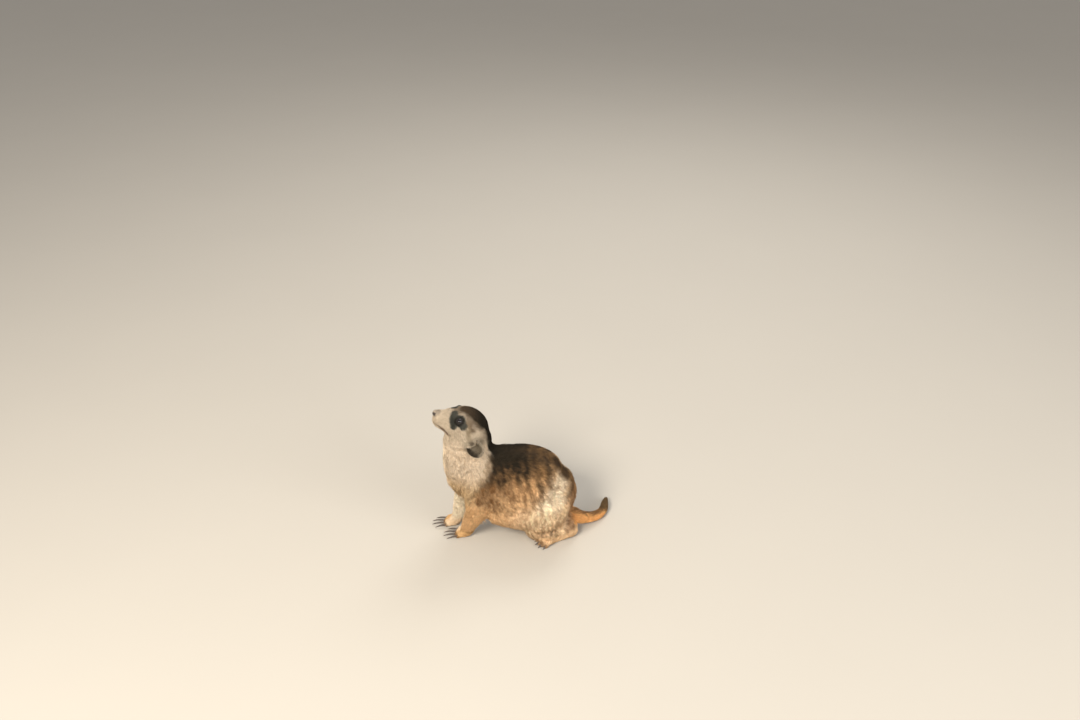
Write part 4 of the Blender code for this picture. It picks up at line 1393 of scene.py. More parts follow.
def surface_bend(points, normals, lie, edges):
    """How much the surface bends along the lie of the hair, per millimetre: over a vertex's edges e, with
    the normals' change d, the sum of (d . lie)(e . lie) over the sum of (e . lie)^2."""
    step = points[edges[:, 1]] - points[edges[:, 0]]
    turn = normals[edges[:, 1]] - normals[edges[:, 0]]
    above = np.zeros(len(points))
    below = np.full(len(points), 1e-6)
    for end in (0, 1):
        way = lie[edges[:, end]]
        run = (step * way).sum(1)
        above += np.bincount(edges[:, end], (turn * way).sum(1) * run, len(points))
        below += np.bincount(edges[:, end], run**2, len(points))
    return np.clip(spread(above / below, edges, BEND_PASSES), -0.04, 0.10)


# ------------------------------------------------------------------------------------------------- the head


def grid_faces(rows, columns, round_rows=False):
    """Quads of a grid whose columns close on themselves, and whose rows do too if round_rows is set."""
    i, j = np.meshgrid(np.arange(rows if round_rows else rows - 1), np.arange(columns), indexing="ij")
    k, m = (j + 1) % columns, (i + 1) % rows
    return np.stack([i * columns + j, m * columns + j, m * columns + k, i * columns + k], -1).reshape(-1, 4)


def basis_about(axis, up):
    """Three unit vectors: across, above and the axis itself, the second as near to up as it can be."""
    axis = unit(np.asarray(axis, float))
    above = unit(np.asarray(up, float) - axis * (axis @ np.asarray(up, float)))
    return np.cross(above, axis), above, axis


def eyeball(sign):
    """A ball that swells by CORNEA_SWELL within CORNEA_ANGLE of the gaze, as a cornea does. Rows run from
    the pupil's middle to the back of the eye, columns round the gaze."""
    flip = mirror(sign)
    across, above, gaze = basis_about(EYE_GAZE * flip, (0, 0.1, 1))
    rings, segments = 40, 48
    lean = np.linspace(0, math.pi, rings + 2)[1:-1][:, None]
    turn = circle(segments)[None]
    radius = EYE_RADIUS * (1 + CORNEA_SWELL * ease(CORNEA_ANGLE, 0, lean))
    way = np.cos(lean)[..., None] * gaze + np.sin(lean)[..., None] * (
        np.cos(turn)[..., None] * across + np.sin(turn)[..., None] * above
    )
    grid = EYE_PLACE * flip + radius[..., None] * way
    poles = EYE_PLACE * flip + np.array([gaze * radius[0, 0], -gaze * radius[-1, 0]])
    points = in_head(np.vstack([grid.reshape(-1, 3), poles]))
    quads, caps = tube_faces(rings, segments)
    lean_of = np.hstack([np.repeat(lean[:, 0], segments), 0, math.pi])
    turn_of = np.hstack([np.tile(turn[0], rings), 0, 0])
    # The pupil is wider than it is high.
    squeezed = lean_of * np.hypot(PUPIL_SQUEEZE[0] * np.cos(turn_of), PUPIL_SQUEEZE[1] * np.sin(turn_of))
    return points, quads, caps, lean_of, np.where(lean_of < 0.02, 0, squeezed)


def eye_material():
    """A wet eye: a black pupil, a dark brown iris with fibres, and a dark ball that the lids hide."""
    made, shader, tree = new_material("eye", 0.05, specular=0.36)
    shader.inputs["Coat Weight"].default_value = 0.25
    shader.inputs["Coat Roughness"].default_value = 0.02
    lean = stored(tree, "lean")
    pupil = stored(tree, "pupil")
    place = object_place(tree)
    fibres = noise_on(tree, place, 2600.0, 3.0)
    ramp = node(tree, "ShaderNodeValToRGB", {"Fac": ranged(tree, lean, 0, 1, 0, 1.3)})
    stops = ramp.color_ramp.elements
    stops[0].position, stops[0].color = 0.0, (0.007, 0.004, 0.002, 1)
    stops[1].position, stops[1].color = 1.0, (0.012, 0.009, 0.007, 1)
    middle = stops.new(0.42)
    middle.color = (0.010, 0.005, 0.0025, 1)
    edge = stops.new(0.58)
    edge.color = (0.008, 0.005, 0.004, 1)
    colour = times(tree, ramp.outputs["Color"], ranged(tree, fibres, 0.55, 1.5, 0.3, 0.7))
    colour = times(tree, colour, ranged(tree, pupil, 0.03, 1.0, 0.26, 0.34))
    coloured(tree, shader, colour)
    return made


def eyelids(sign):
    """A closed ring round the eye. Its opening is at the angle g from the gaze that gives
    (g |cos| / a)^p + (g |sin| / b)^p = 1, pointed at both corners, and its section runs from the wet edge
    on the eyeball over a rounded lip and out under the coat."""
    flip = mirror(sign)
    across, above, gaze = basis_about(EYE_GAZE * flip, (0, 0.1, 1))
    segments = 96
    turn = circle(segments)
    # The corners lie along a line that falls towards the ear.
    slant = turn + sign * LID_SLANT
    high = np.where(np.sin(slant) > 0, LID_UPPER, LID_LOWER)
    wide = (np.abs(np.cos(slant)) / LID_CORNER) ** LID_POWER
    opening = (wide + (np.abs(np.sin(slant)) / high) ** LID_POWER) ** (-1 / LID_POWER)
    lean = opening[None] + np.radians(LID_SECTION[:, :1])
    reach = EYE_RADIUS * LID_SECTION[:, 1:] * np.ones_like(lean)
    upper = ease(-0.2, 0.6, np.sin(turn))[None]
    reach = reach + upper * 0.16 * np.exp(-(((LID_SECTION[:, :1] - 8) / 7) ** 2))
    way = np.cos(lean)[..., None] * gaze + np.sin(lean)[..., None] * (
        np.cos(turn)[None, :, None] * across + np.sin(turn)[None, :, None] * above
    )
    grid = EYE_PLACE * flip + reach[..., None] * way
    points, faces = in_head(grid.reshape(-1, 3)), grid_faces(len(LID_SECTION), segments, round_rows=True)
    return points, faces, np.repeat(np.arange(len(LID_SECTION)), segments)


def leather_material(name, dark, pale, size, roughness, bump_depth, specular):
    """Bare skin in small pebbles: voronoi cells, with painted shade between them and in hollows, and a damp
    gloss.
    """
    made, shader, tree = new_material(name, roughness, specular=specular)
    place = object_place(tree)
    cells = node(tree, "ShaderNodeTexVoronoi", {"Vector": place, "Scale": 1 / (size * MM)})
    cells = cells.outputs["Distance"]
    tone = noise_on(tree, place, 420.0, 4.0)
    colour = blend_of(tree, ranged(tree, tone, 0, 1, 0.35, 0.65), dark, pale)
    # Painted shade in the crevices between the pebbles.
    colour = times(tree, colour, ranged(tree, cells, 1.1, 0.6, 0.1, 0.8))
    # Painted shade in the nostrils: the colour falls to 0.05 where the pad is dented.
    hollow_shade = stored(tree, "hollow_shade")
    colour = times(tree, colour, ranged(tree, hollow_shade, 1.0, 0.05))
    coloured(tree, shader, colour, ranged(tree, tone, roughness * 0.8, roughness * 1.3))
    bumped(tree, shader, cells, 0.7, bump_depth * MM, invert=True)
    return made


def nose_pad():
    """An egg-shaped pad whose radius falls by Gaussian dents at the two nostrils, along the slits that
    run out from them, and down the groove in the middle."""
    rings, segments = 56, 72
    lean = np.linspace(0, math.pi, rings + 2)[1:-1][:, None]
    turn = circle(segments)[None]
    out = np.sin(lean) * np.cos(turn)
    up = np.sin(lean) * np.sin(turn)
    ahead = np.cos(lean) * np.ones_like(turn)
    square = (np.abs(out) ** 2.5 + np.abs(up) ** 2.5 + np.abs(ahead) ** 2.5) ** (-1 / 2.5)
    dent = np.zeros_like(out)
    for sign in (1, -1):
        hole = ((out - sign * 0.46) / 0.16) ** 2 + ((up + 0.08) / 0.13) ** 2
        slit = ((up + 0.16 + 0.25 * (np.abs(out) - 0.46)) / 0.055) ** 2 + ((out - sign * 0.74) / 0.26) ** 2
        dent += (0.46 * np.exp(-hole) + 0.16 * np.exp(-slit)) * (ahead > -0.1)
        dent -= 0.07 * np.exp(-(((out - sign * 0.50) / 0.22) ** 2 + ((up - 0.20) / 0.14) ** 2))
    dent += 0.13 * np.exp(-((out / 0.055) ** 2)) * ease(0.45, 0.1, up) * (ahead > 0)
    reach = square * (1 - dent)
    taper = 1 - 0.22 * ease(0.1, -0.9, up)
    way = np.stack([out * taper * reach, -ahead * reach, up * reach], -1)
    grid = NOSE_PAD_PLACE + NOSE_PAD_RADII * way
    poles = NOSE_PAD_PLACE + NOSE_PAD_RADII * np.array([[0, -0.87, 0], [0, 1.0, 0]])
    quads, caps = tube_faces(rings, segments)
    # How deep each point is dented, for painted shade in the nostrils.
    hollow_shade = np.hstack([np.clip(dent * 2.6, 0, 1).ravel(), 0, 0])
    return in_head(np.vstack([grid.reshape(-1, 3), poles])), quads, caps, hollow_shade


def ear_axes(sign):
    """The ear's own axes in head places, as columns: two across its mouth and the way that opens."""
    mouth = Vector((sign * 0.80, -0.55, 0.18)).normalized()
    return np.array(mouth.to_track_quat("Z", "Y").to_matrix())


def ear_cup(sign):
    """A cup with a rolled rim. Rows run from its floor over the rim and down its back: the radius is a
    share of the outline, and the floor's depth is (1 - share^2). A ridge curls inside it, and its front
    lower edge is notched."""
    segments = 72
    turn = circle(segments)[None]
    inner = np.linspace(0.06, 1, 22)[:, None]
    outer = np.linspace(1, 0.10, 16)[1:, None]
    axes = ear_axes(sign)
    # Angles of the head's own up and back directions in the cup's plane.
    up_turn = math.atan2(axes[2, 1], axes[2, 0])
    back_turn = math.atan2(axes[1, 1], axes[1, 0])
    from_front = np.angle(np.exp(1j * (turn - back_turn - math.pi)))
    outline = 1 + 0.10 * np.cos(turn - up_turn - 0.4) - 0.10 * np.exp(-((from_front / 0.5) ** 2))
    curl = 0.58 + 0.10 * np.cos(turn - up_turn)
    ridge = np.exp(-(((inner - curl) / 0.09) ** 2)) * ease(-0.5, 0.4, np.cos(turn - back_turn - 0.5))
    second = np.exp(-(((inner - 0.34) / 0.08) ** 2)) * ease(-0.2, 0.7, np.cos(turn - up_turn + 1.2))
    deep = -3.9 * (1 - inner**2.4) + 1.7 * ridge + 1.1 * second + 1.0
    back = -0.35 - 4.6 * np.sqrt(np.clip(1 - outer**2, 0, 1)) + 0.6 * outer
    lip = np.array([[1.035], [1.05], [1.04]])
    lip_height = np.array([[0.95], [0.55], [0.1]])
    share = np.vstack([inner, lip, outer])
    height = np.vstack([deep, lip_height * np.ones_like(turn), back * np.ones_like(turn)])
    height = height + 0.5 * np.vstack([inner, lip, outer]) ** 2 * np.cos(2 * (turn - up_turn))
    local = np.stack(
        [
            EAR_RADII[0] * share * outline * np.cos(turn),
            EAR_RADII[1] * share * outline * np.sin(turn),
            height * np.ones_like(turn),
        ],
        -1,
    )
    rings = len(share)
    poles = np.array([[0, 0, height[0].mean()], [0, 0, height[-1].mean() - 0.1]])
    local = np.vstack([local.reshape(-1, 3), poles])
    place = EAR_PLACE * mirror(sign)
    quads, caps = tube_faces(rings, segments)
    share_of = np.hstack([np.repeat(share[:, 0], segments), 0, 0])
    inside = np.hstack([np.repeat(np.arange(rings) < len(inner), segments), True, False])
    return in_head(local @ axes.T + place), quads, caps, share_of, inside


def ear_colours(points, share, inside, sign):
    """Grey brown inside, a dark crescent along the lower and front edges, a dark notch at the top of the front
    that is painted shadow of the ear's opening, and a paler edge and back."""
    head = to_head(points) * mirror(sign) - EAR_PLACE
    wander = noise(points, 2.0, 13) - 0.5
    fine = noise(points, 0.9, 14) - 0.5
    back, up = head[:, 1], head[:, 2]
    colour = even([0.082, 0.062, 0.038], len(points))
    colour = mix(colour, CREAM * 0.5, 0.7 * ease(-1.0, 4.0, back + up + 2 * wander) * ease(0.6, 0.98, share))
    ring = np.hypot(back, up) + 1.6 * wander + fine
    low = ease(1.2, -3.2, up + 0.25 * back + 2.0 * wander + fine)
    colour = mix(colour, DARK * 1.2, ease(2.0, 5.4, ring) * low)
    # Painted shadow of the ear's opening at the top of the front.
    colour = mix(colour, DARK, 0.9 * ease(5.0, 1.6, np.hypot(back + 6.2, 1.3 * (up - 1.6)) + 1.2 * wander))
    return mix(colour, CREAM * 0.55, ease(0.0, 3.5, back) * ease(-3.0, 0.0, up) * ~inside * 0.8)


def facing(points, triangles, centre, outer):
    """Vertex normals that point away from the centre at the outer points."""
    normals = vertex_normals(points, triangles)
    return normals * np.sign(((points - centre) * normals).sum(1)[outer].mean())


def short_hair(name, points, triangles, normals, colours, fields, rng, material):
    """Short tufts on one small surface. fields holds the density, the way they lie, their length, depth and
    width, and their places on a flat map of the surface, each as one number or one for each point."""
    face, shares = scatter(points, triangles, fields["density"], rng)
    at = picker(triangles[face], shares)
    root, normal = at(points), unit(at(normals))
    way = at(fields["lie"])
    way = laid(way, normal)
    count = len(root)
    length = at(fields["length"] * np.ones(len(points))) * (0.7 + 0.6 * rng.random(count))
    depth, width = np.full(count, fields["depth"]), np.full(count, fields["width"])
    made = tuft_shapes(root, normal, way, length, depth, width, np.zeros(count), rng, 0.3)
    base = at(colours) * np.exp(0.15 * rng.standard_normal(count))[:, None]
    # Painted shade: the root ring of each tuft is darker, by 0.75.
    shades = np.stack([base * 0.75] * 3 + [base] * 3 + [base * 1.12], axis=1)
    places = at(fields["map"])
    return coat_piece(name, made, np.clip(shades, 0.004, 0.9), places, rng, "dark_fur", material)


def whisker_grids(rng):
    """Thin tubes that leave the whisker pads and bow back along the face: each runs from its
    root by L * (t * way + t^2 * droop), tapering by (1 - t)^0.8."""
    grids = []
    for sign in (1, -1):
        roots = [(5.6 + 0.5 * j, 5.2 + 2.1 * i, 0.9 - 1.7 * j) for i in range(4) for j in range(3)]
        for number, root in enumerate(roots):
            length = (9.0 + 1.4 * (number // 3)) * rng.uniform(0.85, 1.15)
            way = unit(np.array([0.80, 0.95, 0.22 - 0.16 * (number % 3)]))
            way = unit(way + 0.12 * rng.standard_normal(3))
            t = np.linspace(0, 1, 12)[:, None]
            line = np.array(root) - way * 0.8 + length * (t * way + t**2 * np.array([-0.10, 0.22, -0.16]))
            line = in_head(line * [sign, 1, 1])
            radius = 0.065 * (1 - 0.9 * t) ** 0.8
            rows = np.hstack([line, radius, radius])
            grids.append(rings_of(rows, 5, 0, side=(0.3, 0.1, 1.0)))
    return grids


def claw_grids():
    """Each claw: an oval section carried from the toe's tip along a bowed line down to the floor, its radius
    falling by CLAW_TAPER."""
    grids, names = [], []
    for foot, paths, _, length in all_feet():
        for number, (points, ahead) in enumerate(paths, 1):
            reach = length * (1 - OUTER_CLAW_LOSS * abs(number - (TOES + 1) / 2))
            start = points[-1] + ahead * CLAW_SET_OFF + np.array([0, 0, CLAW_LIFT])
            drop = start[2] - CLAW_END_HEIGHT
            height = CLAW_BOW * reach / 14.0
            t = np.linspace(-0.14, 1, 16)[:, None]
            share = np.clip(t, 0, 1)
            bow = height * np.sin(math.pi * share) - drop * share
            line = start + ahead * reach * t + bow * np.array([0, 0, 1.0])
            radius = CLAW_RADIUS * (1 - CLAW_TAPER * share**1.3) * np.sqrt(np.clip(1.02 - share**6, 0.02, 1))
            rows = np.hstack([line, radius * 0.80, radius])
            grids.append(rings_of(rows, 14, 0))
            names.append(f"claw_{foot}_{number}")
    return grids, names


def horn_material():
    """Claw horn: dark brown with pale streaks along it and a worn gloss."""
    made, shader, tree = new_material("claw_horn", 0.36, specular=0.5)
    place = object_place(tree)
    long_way = node(tree, "ShaderNodeMapping", {"Vector": place, "Scale": (1.0, 0.18, 1.0)}).outputs["Vector"]
    streaks = noise_on(tree, long_way, 1800.0, 4.0)
    streaked = ranged(tree, streaks, 0, 1, 0.42, 0.72)
    colour = blend_of(tree, streaked, (0.035, 0.024, 0.017), (0.16, 0.11, 0.075))
    coloured(tree, shader, colour, ranged(tree, streaks, 0.28, 0.5))
    bumped(tree, shader, streaks, 0.4, 0.0001)
    return made


def whisker_material():
    """Whiskers: a noise that runs between brown and a paler brown."""
    made, shader, tree = new_material("whisker", 0.35, specular=0.5)
    place = object_place(tree)
    tone = noise_on(tree, place, 180.0, 2.0)
    colour = blend_of(tree, ranged(tree, tone, 0, 1, 0.4, 0.6), (0.09, 0.06, 0.04), (0.42, 0.34, 0.26))
    coloured(tree, shader, colour)
    return made


# --------------------------------------------------------------------------------------------- the settings


class MeerkatCoatSettings(bpy.types.PropertyGroup):
    density: bpy.props.FloatProperty(
        name="Density", description="Share of the full number of tufts", default=0.92, min=0.05, max=1.2
    )
    length: bpy.props.FloatProperty(
        name="Length", description="Share of the tufts' full length", default=1.0, min=0.3, max=1.3
    )
    clump: bpy.props.FloatProperty(
        name="Clump", description="How far tufts lean together into locks", default=1.0, min=0.0, max=2.0
    )
    seed: bpy.props.IntProperty(name="Seed", description="Start of the random draws", default=7)


class MeerkatStageSettings(bpy.types.PropertyGroup):
    floor_size: bpy.props.FloatProperty(
        name="Floor", description="Side of the floor", default=6.0, unit="LENGTH"
    )
    floor_colour: bpy.props.FloatVectorProperty(
        name="Floor colour", description="Colour of the floor", default=(0.42, 0.375, 0.31), subtype="COLOR"
    )
    camera: bpy.props.FloatVectorProperty(
        name="Camera",
        description="Place of the camera",
        default=(0.8596, 0.0201, 0.696),
        subtype="TRANSLATION",
    )
    pitch: bpy.props.FloatProperty(
        name="Pitch", description="How far the camera looks down", default=math.radians(30), subtype="ANGLE"
    )
    lens: bpy.props.FloatProperty(name="Lens", description="Focal length in millimetres", default=35.0)
    key: bpy.props.FloatProperty(
        name="Key light", description="Power of the key light", default=41.0, unit="POWER"
    )
    fill: bpy.props.FloatProperty(
        name="Fill light", description="Power of the fill light", default=17.0, unit="POWER"
    )
    back: bpy.props.FloatProperty(
        name="Back light", description="Power of the back light", default=10.0, unit="POWER"
    )
    sky: bpy.props.FloatProperty(name="Sky", description="Strength of the light all round", default=0.62)


# -------------------------------------------------------------------------------------------- the operators


class MEERKAT_OT_skin(bpy.types.Operator):
    """Makes the skin that lies under the coat and stands for every solid of flesh"""

    bl_idname = "meerkat.skin"
    bl_label = "Skin"

    def execute(self, context):
        points, triangles = refined(*coat_outline())
        edges = edges_of(triangles)
        head = to_head(points)
        fine = ease(36, 30, head[:, 1]) * ease(-20, -14, head[:, 2])
        points = spread(points, edges, FACE_PASSES, hold=fine)
        nape = ease(48, 54, head[:, 1]) * ease(86, 94, points[:, 2]) * ease(-42, -30, points[:, 1])
        rump = ease(24, 32, points[:, 1]) * ease(50, 60, points[:, 2])
        points = spread(points, edges, NAPE_PASSES, hold=np.maximum(nape, rump))
        normals = vertex_normals(points, triangles)
        flesh = [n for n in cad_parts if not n.startswith(("claw_", "eye_", "ear_", "nose"))]
        points = points + normals * throat_swell(points, normals)[:, None]
        normals = vertex_normals(points, triangles)
        full = ease(17, 7, head[:, 1]) * ease(1.0, 4.5, head[:, 1]) * ease(-18, -12, head[:, 2])
        points = points + normals * (MUZZLE_FILL * full)[:, None]
        lie, values, zone = coat_fields(points, normals, edges)
        depth = values[:, 0]
        points = points - normals * depth[:, None]
        points = spread(points, edges, 2, share=0.4)
        normals = vertex_normals(points, triangles)
        points = sculpt_head(points, normals)
        points = sculpt_toes(points, vertex_normals(points, triangles))
        points = open_eyes(points)
        points[:, 2] = np.maximum(points[:, 2], SKIN_FLOOR)
        normals = vertex_normals(points, triangles)
        lie = laid(lie, normals)

        mesh = fill_mesh("skin", points, triangles)
        give(mesh, "marking", "FLOAT_COLOR", with_alpha(markings(points)))
        give(mesh, "lie", "FLOAT_VECTOR", lie)
        give(mesh, "bend", "FLOAT", surface_bend(points, normals, lie, edges))
        for i, name in enumerate(("depth", "length", "width", "density")):
            give(mesh, name, "FLOAT", values[:, i])
        give(mesh, "zone", "INT", zone)
        skin = piece("skin", mesh, "cream_fur", skin_material())
        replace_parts(skin, *flesh)

        for other in context.selected_objects:
            other.select_set(False)
        context.view_layer.objects.active = skin
        skin.select_set(True)
        bpy.ops.object.mode_set(mode="EDIT")
        bpy.ops.mesh.select_all(action="SELECT")
        bpy.ops.uv.smart_project(angle_limit=math.radians(66), island_margin=0.003)
        bpy.ops.object.mode_set(mode="OBJECT")
        mesh.uv_layers[0].name = "unwrap"
        return {"FINISHED"}


class MEERKAT_OT_coat(bpy.types.Operator):
    """Grows the coat's tufts from the skin, in one or more pieces for each zone of the body"""

    bl_idname = "meerkat.coat"
    bl_label = "Coat"

    def execute(self, context):
        settings = context.scene.meerkat_coat
        skin = bpy.data.objects.get("skin")
        if skin is None:
            raise RuntimeError("the coat grows from the skin: make the skin first")
        mesh = skin.data
        points, triangles = points_of(mesh), corners_of(mesh, 3)
        density = take(mesh, "density") * settings.density
        head = own_side(to_head(points))
        axis, gap, away = from_gaze(head, 1)
        across, above, _ = basis_about(EYE_GAZE, (0, 0.1, 1))
        eye = np.hypot(away @ across / LID_WIDTH, away @ above / LID_HEIGHT) * gap
        eye = np.where(axis > -1, eye, 9)
        nose = np.linalg.norm((head - NOSE_PAD_PLACE) / (NOSE_PAD_RADII + [0.2, 0.8, 0.4]), axis=1)
        mouth, _ = to_line(head, MOUTH_LINE)
        cup = np.linalg.norm((head - EAR_PLACE) / [9.0, 7.4, 6.4], axis=1)
        bare = ease(0.94, 1.12, eye) * ease(0.92, 1.05, nose) * ease(0.5, 1.0, mouth) * ease(0.75, 1.0, cup)
        density *= bare
        density *= ease(0.36, 0.60, points[:, 2])
        uv = np.empty(len(mesh.loops) * 2, np.float32)
        mesh.uv_layers["unwrap"].data.foreach_get("uv", uv)
        zone = np.empty(len(mesh.vertices), np.int32)
        mesh.attributes["zone"].data.foreach_get("value", zone)
        surface = {
            "points": points,
            "triangles": triangles,
            "normals": vertex_normals(points, triangles),
            "lie": take(mesh, "lie", 3),
            "bend": take(mesh, "bend"),
            "length": take(mesh, "length") * settings.length,
            "width": take(mesh, "width"),
            "depth": take(mesh, "depth"),
            "density": density,
            "zone": zone,
            "map": uv.reshape(-1, 3, 2).astype(float),
            "names": ZONES,
        }
        slots = dict.fromkeys(ZONES, "tan_fur")
        slots.update(head="cream_fur", chest="cream_fur", back="grey_tan_fur", rump="grey_tan_fur")
        rng = np.random.default_rng(settings.seed)
        grow("coat", surface, rng, tuft_material(), slots, clump=settings.clump)
        for name in WORKING:
            mesh.attributes.remove(mesh.attributes[name])
        return {"FINISHED"}


class MEERKAT_OT_eyes(bpy.types.Operator):
    """Makes both eyeballs, with a swollen cornea, and the lids round them"""

    bl_idname = "meerkat.eyes"
    bl_label = "Eyes and lids"

    def execute(self, context):
        rng = np.random.default_rng(LID_SEED)
        tufts = bpy.data.materials.get("coat") or tuft_material()
        wet = eye_material()
        rim = leather_material("eyelid", (0.010, 0.008, 0.007), (0.022, 0.018, 0.015), 0.18, 0.62, 0.03, 0.15)
        for side, sign in SIDES:
            points, quads, caps, lean, pupil = eyeball(sign)
            mesh = closed_mesh(f"eyeball_{side}", points, quads, caps)
            give(mesh, "lean", "FLOAT", lean)
            give(mesh, "pupil", "FLOAT", pupil)
            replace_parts(piece(f"eyeball_{side}", mesh, "eye", wet), f"eye_{side}")
            points, faces, row = eyelids(sign)
            mesh = closed_mesh(f"eyelids_{side}", points, faces)
            piece(f"eyelids_{side}", mesh, "dark_fur", rim)
            triangles = np.vstack([faces[:, [0, 1, 2]], faces[:, [0, 2, 3]]])
            centre = in_head(EYE_PLACE * mirror(sign))
            normals = facing(points, triangles, centre, row == 4)
            _, _, away = from_gaze(to_head(points), sign)
            density = np.where((row >= 3) & (row <= 7), 10.0, 0.0)
            # The lid laid out flat: the map's angle and radius are the turn and the row.
            rows = row.max() + 1
            turn = np.tile(circle(len(points) // rows), rows)
            flat = 0.5 + (0.10 + 0.03 * row)[:, None] * np.stack([np.cos(turn), np.sin(turn)], 1)
            lie = away @ head_axes().T
            fields = dict(density=density, lie=lie, length=1.1, depth=0.14, width=0.17, map=flat)
            colours = even(PATCH_GREY * 0.8, len(points))
            short_hair(f"coat_eyelids_{side}", points, triangles, normals, colours, fields, rng, tufts)
        return {"FINISHED"}


class MEERKAT_OT_nose(bpy.types.Operator):
    """Makes the nose pad with its nostrils"""

    bl_idname = "meerkat.nose"
    bl_label = "Nose"

    def execute(self, context):
        *shape, hollow_shade = nose_pad()
        mesh = closed_mesh("nose_pad", *shape)
        give(mesh, "hollow_shade", "FLOAT", hollow_shade)
        dark, pale = (0.030, 0.020, 0.015), (0.060, 0.040, 0.029)
        leather = leather_material("nose_leather", dark, pale, 0.34, 0.42, 0.06, 0.26)
        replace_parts(piece("nose_pad", mesh, "nose_skin", leather), "nose")
        return {"FINISHED"}


class MEERKAT_OT_ears(bpy.types.Operator):
    """Makes both ears, and the short hair on them"""

    bl_idname = "meerkat.ears"
    bl_label = "Ears"

    def execute(self, context):
        rng = np.random.default_rng(EAR_SEED)
        cloth = skin_material()
        cloth.name = "ear_skin"
        tufts = bpy.data.materials.get("coat") or tuft_material()
        for side, sign in SIDES:
            points, quads, caps, share, inside = ear_cup(sign)
            mesh = closed_mesh(f"ear_cup_{side}", points, quads, caps)
            colours = ear_colours(points, share, inside, sign)
            give(mesh, "marking", "FLOAT_COLOR", with_alpha(colours))
            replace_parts(piece(f"ear_cup_{side}", mesh, "dark_fur", cloth), f"ear_{side}")
            triangles = np.vstack([quads[:, [0, 1, 2]], quads[:, [0, 2, 3]], caps])
            centre = in_head(EAR_PLACE * mirror(sign))
            normals = facing(points, triangles, centre, ~inside)
            lie = unit(points - centre) + 0.7 * in_head([[0, 1, -0.3]]) - 0.7 * NOSE_TIP
            density = np.where(inside, 5.0 * ease(0.30, 0.6, share), 6.5)
            length = np.where(np.abs(share - 1) < 0.1, 0.8, 1.5)
            # Two discs side by side: the cup's inside and its back.
            flat = (to_head(points) - EAR_PLACE * mirror(sign)) @ ear_axes(sign)[:, :2] / 44
            flat = flat + np.where(inside[:, None], [0.27, 0.5], [0.73, 0.5])
            fields = dict(density=density, lie=lie, length=length, depth=0.25, width=0.19, map=flat)
            short_hair(f"coat_ear_{side}", points, triangles, normals, colours, fields, rng, tufts)
        return {"FINISHED"}


class MEERKAT_OT_claws(bpy.types.Operator):
    """Makes the claws of all four feet"""

    bl_idname = "meerkat.claws"
    bl_label = "Claws"

    def execute(self, context):
        grids, names = claw_grids()
        mesh = closed_mesh("claws", *closed_tubes(grids))
        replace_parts(piece("claws", mesh, "claw_horn", horn_material()), *names)
        return {"FINISHED"}


class MEERKAT_OT_whiskers(bpy.types.Operator):
    """Makes the whiskers of the muzzle"""

    bl_idname = "meerkat.whiskers"
    bl_label = "Whiskers"

    def execute(self, context):
        points, quads, caps = closed_tubes(whisker_grids(np.random.default_rng(WHISKER_SEED)))
        top = CAD_BOX[1][2] / MM - 0.1
        points[:, 2] = np.minimum(points[:, 2], top)
        mesh = closed_mesh("whiskers", points, quads, caps)
        piece("whiskers", mesh, "claw_horn", whisker_material())
        return {"FINISHED"}


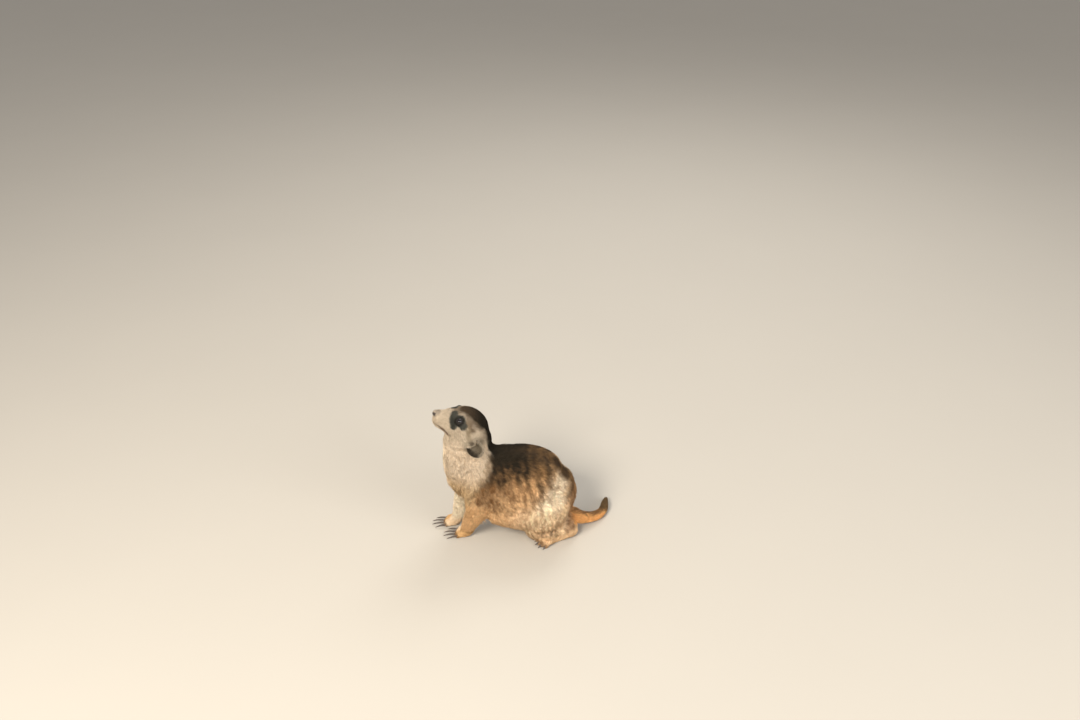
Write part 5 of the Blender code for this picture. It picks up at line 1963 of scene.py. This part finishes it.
class MEERKAT_OT_stage(bpy.types.Operator):
    """Lays the floor and sets the lights and the camera"""

    bl_idname = "meerkat.stage"
    bl_label = "Stage"

    def execute(self, context):
        settings = context.scene.meerkat_stage
        scene = context.scene
        half = settings.floor_size / 2
        mesh = bpy.data.meshes.new("floor")
        corners = [(-half, -half, 0), (half, -half, 0), (half, half, 0), (-half, half, 0)]
        mesh.from_pydata(corners, [], [(0, 1, 2, 3)])
        floor = bpy.data.objects.new("floor", mesh)
        scene.collection.objects.link(floor)
        made, shader, tree = new_material("floor", 0.85, settings.floor_colour, specular=0.1)
        place = object_place(tree)
        tone = noise_on(tree, place, 6.0, 3.0)
        darker = [c * 0.97 for c in settings.floor_colour]
        colour = blend_of(tree, tone, darker, settings.floor_colour)
        coloured(tree, shader, colour)
        mesh.materials.append(made)

        aim = Vector((0, 0, 0.06))
        for name, place, size, power in (
            ("key", (1.10, -0.62, 1.10), 0.55, settings.key),
            ("fill", (0.9, 1.1, 0.7), 0.9, settings.fill),
            ("back", (-0.9, 0.3, 1.2), 0.7, settings.back),
        ):
            light = bpy.data.lights.new(name, "AREA")
            light.energy = power
            light.size = size
            light.color = (1.0, 0.96, 0.90) if name == "key" else (0.95, 0.97, 1.0)
            lamp = bpy.data.objects.new(name, light)
            lamp.location = place
            lamp.rotation_mode = "QUATERNION"
            lamp.rotation_quaternion = (aim - Vector(place)).to_track_quat("-Z", "Y")
            scene.collection.objects.link(lamp)

        world = bpy.data.worlds.new("studio")
        world.use_nodes = True
        world.node_tree.nodes["Background"].inputs["Color"].default_value = (0.93, 0.95, 1.0, 1)
        world.node_tree.nodes["Background"].inputs["Strength"].default_value = settings.sky
        scene.world = world
        scene.view_settings.view_transform = "Standard"

        lens = bpy.data.cameras.new("camera")
        lens.lens = settings.lens
        lens.sensor_width = 36
        lens.clip_start = 0.01
        camera = bpy.data.objects.new("camera", lens)
        camera.location = settings.camera
        camera.rotation_euler = (math.radians(90) - settings.pitch, 0, math.radians(90))
        scene.collection.objects.link(camera)
        scene.camera = camera
        return {"FINISHED"}


STEPS = (
    MEERKAT_OT_skin,
    MEERKAT_OT_coat,
    MEERKAT_OT_eyes,
    MEERKAT_OT_nose,
    MEERKAT_OT_ears,
    MEERKAT_OT_claws,
    MEERKAT_OT_whiskers,
    MEERKAT_OT_stage,
)


class MEERKAT_PT_panel(bpy.types.Panel):
    """Lists the steps in the order they are made"""

    bl_label = "Meerkat"
    bl_idname = "MEERKAT_PT_panel"
    bl_space_type = "VIEW_3D"
    bl_region_type = "UI"
    bl_category = "Meerkat"

    def draw(self, context):
        for settings in (context.scene.meerkat_coat, context.scene.meerkat_stage):
            for name in settings.bl_rna.properties.keys():
                if name not in ("rna_type", "name"):
                    self.layout.prop(settings, name)
        for step in STEPS:
            self.layout.operator(step.bl_idname)


CLASSES = (MeerkatCoatSettings, MeerkatStageSettings, *STEPS, MEERKAT_PT_panel)


def register():
    for made in CLASSES:
        bpy.utils.register_class(made)
    bpy.types.Scene.meerkat_coat = bpy.props.PointerProperty(type=MeerkatCoatSettings)
    bpy.types.Scene.meerkat_stage = bpy.props.PointerProperty(type=MeerkatStageSettings)


def unregister():
    del bpy.types.Scene.meerkat_coat
    del bpy.types.Scene.meerkat_stage
    for made in reversed(CLASSES):
        bpy.utils.unregister_class(made)


def main():
    register()
    bpy.ops.meerkat.skin()
    bpy.ops.meerkat.coat()
    bpy.ops.meerkat.eyes()
    bpy.ops.meerkat.nose()
    bpy.ops.meerkat.ears()
    bpy.ops.meerkat.claws()
    bpy.ops.meerkat.whiskers()
    bpy.ops.meerkat.stage()


if __name__ == "__main__":
    main()
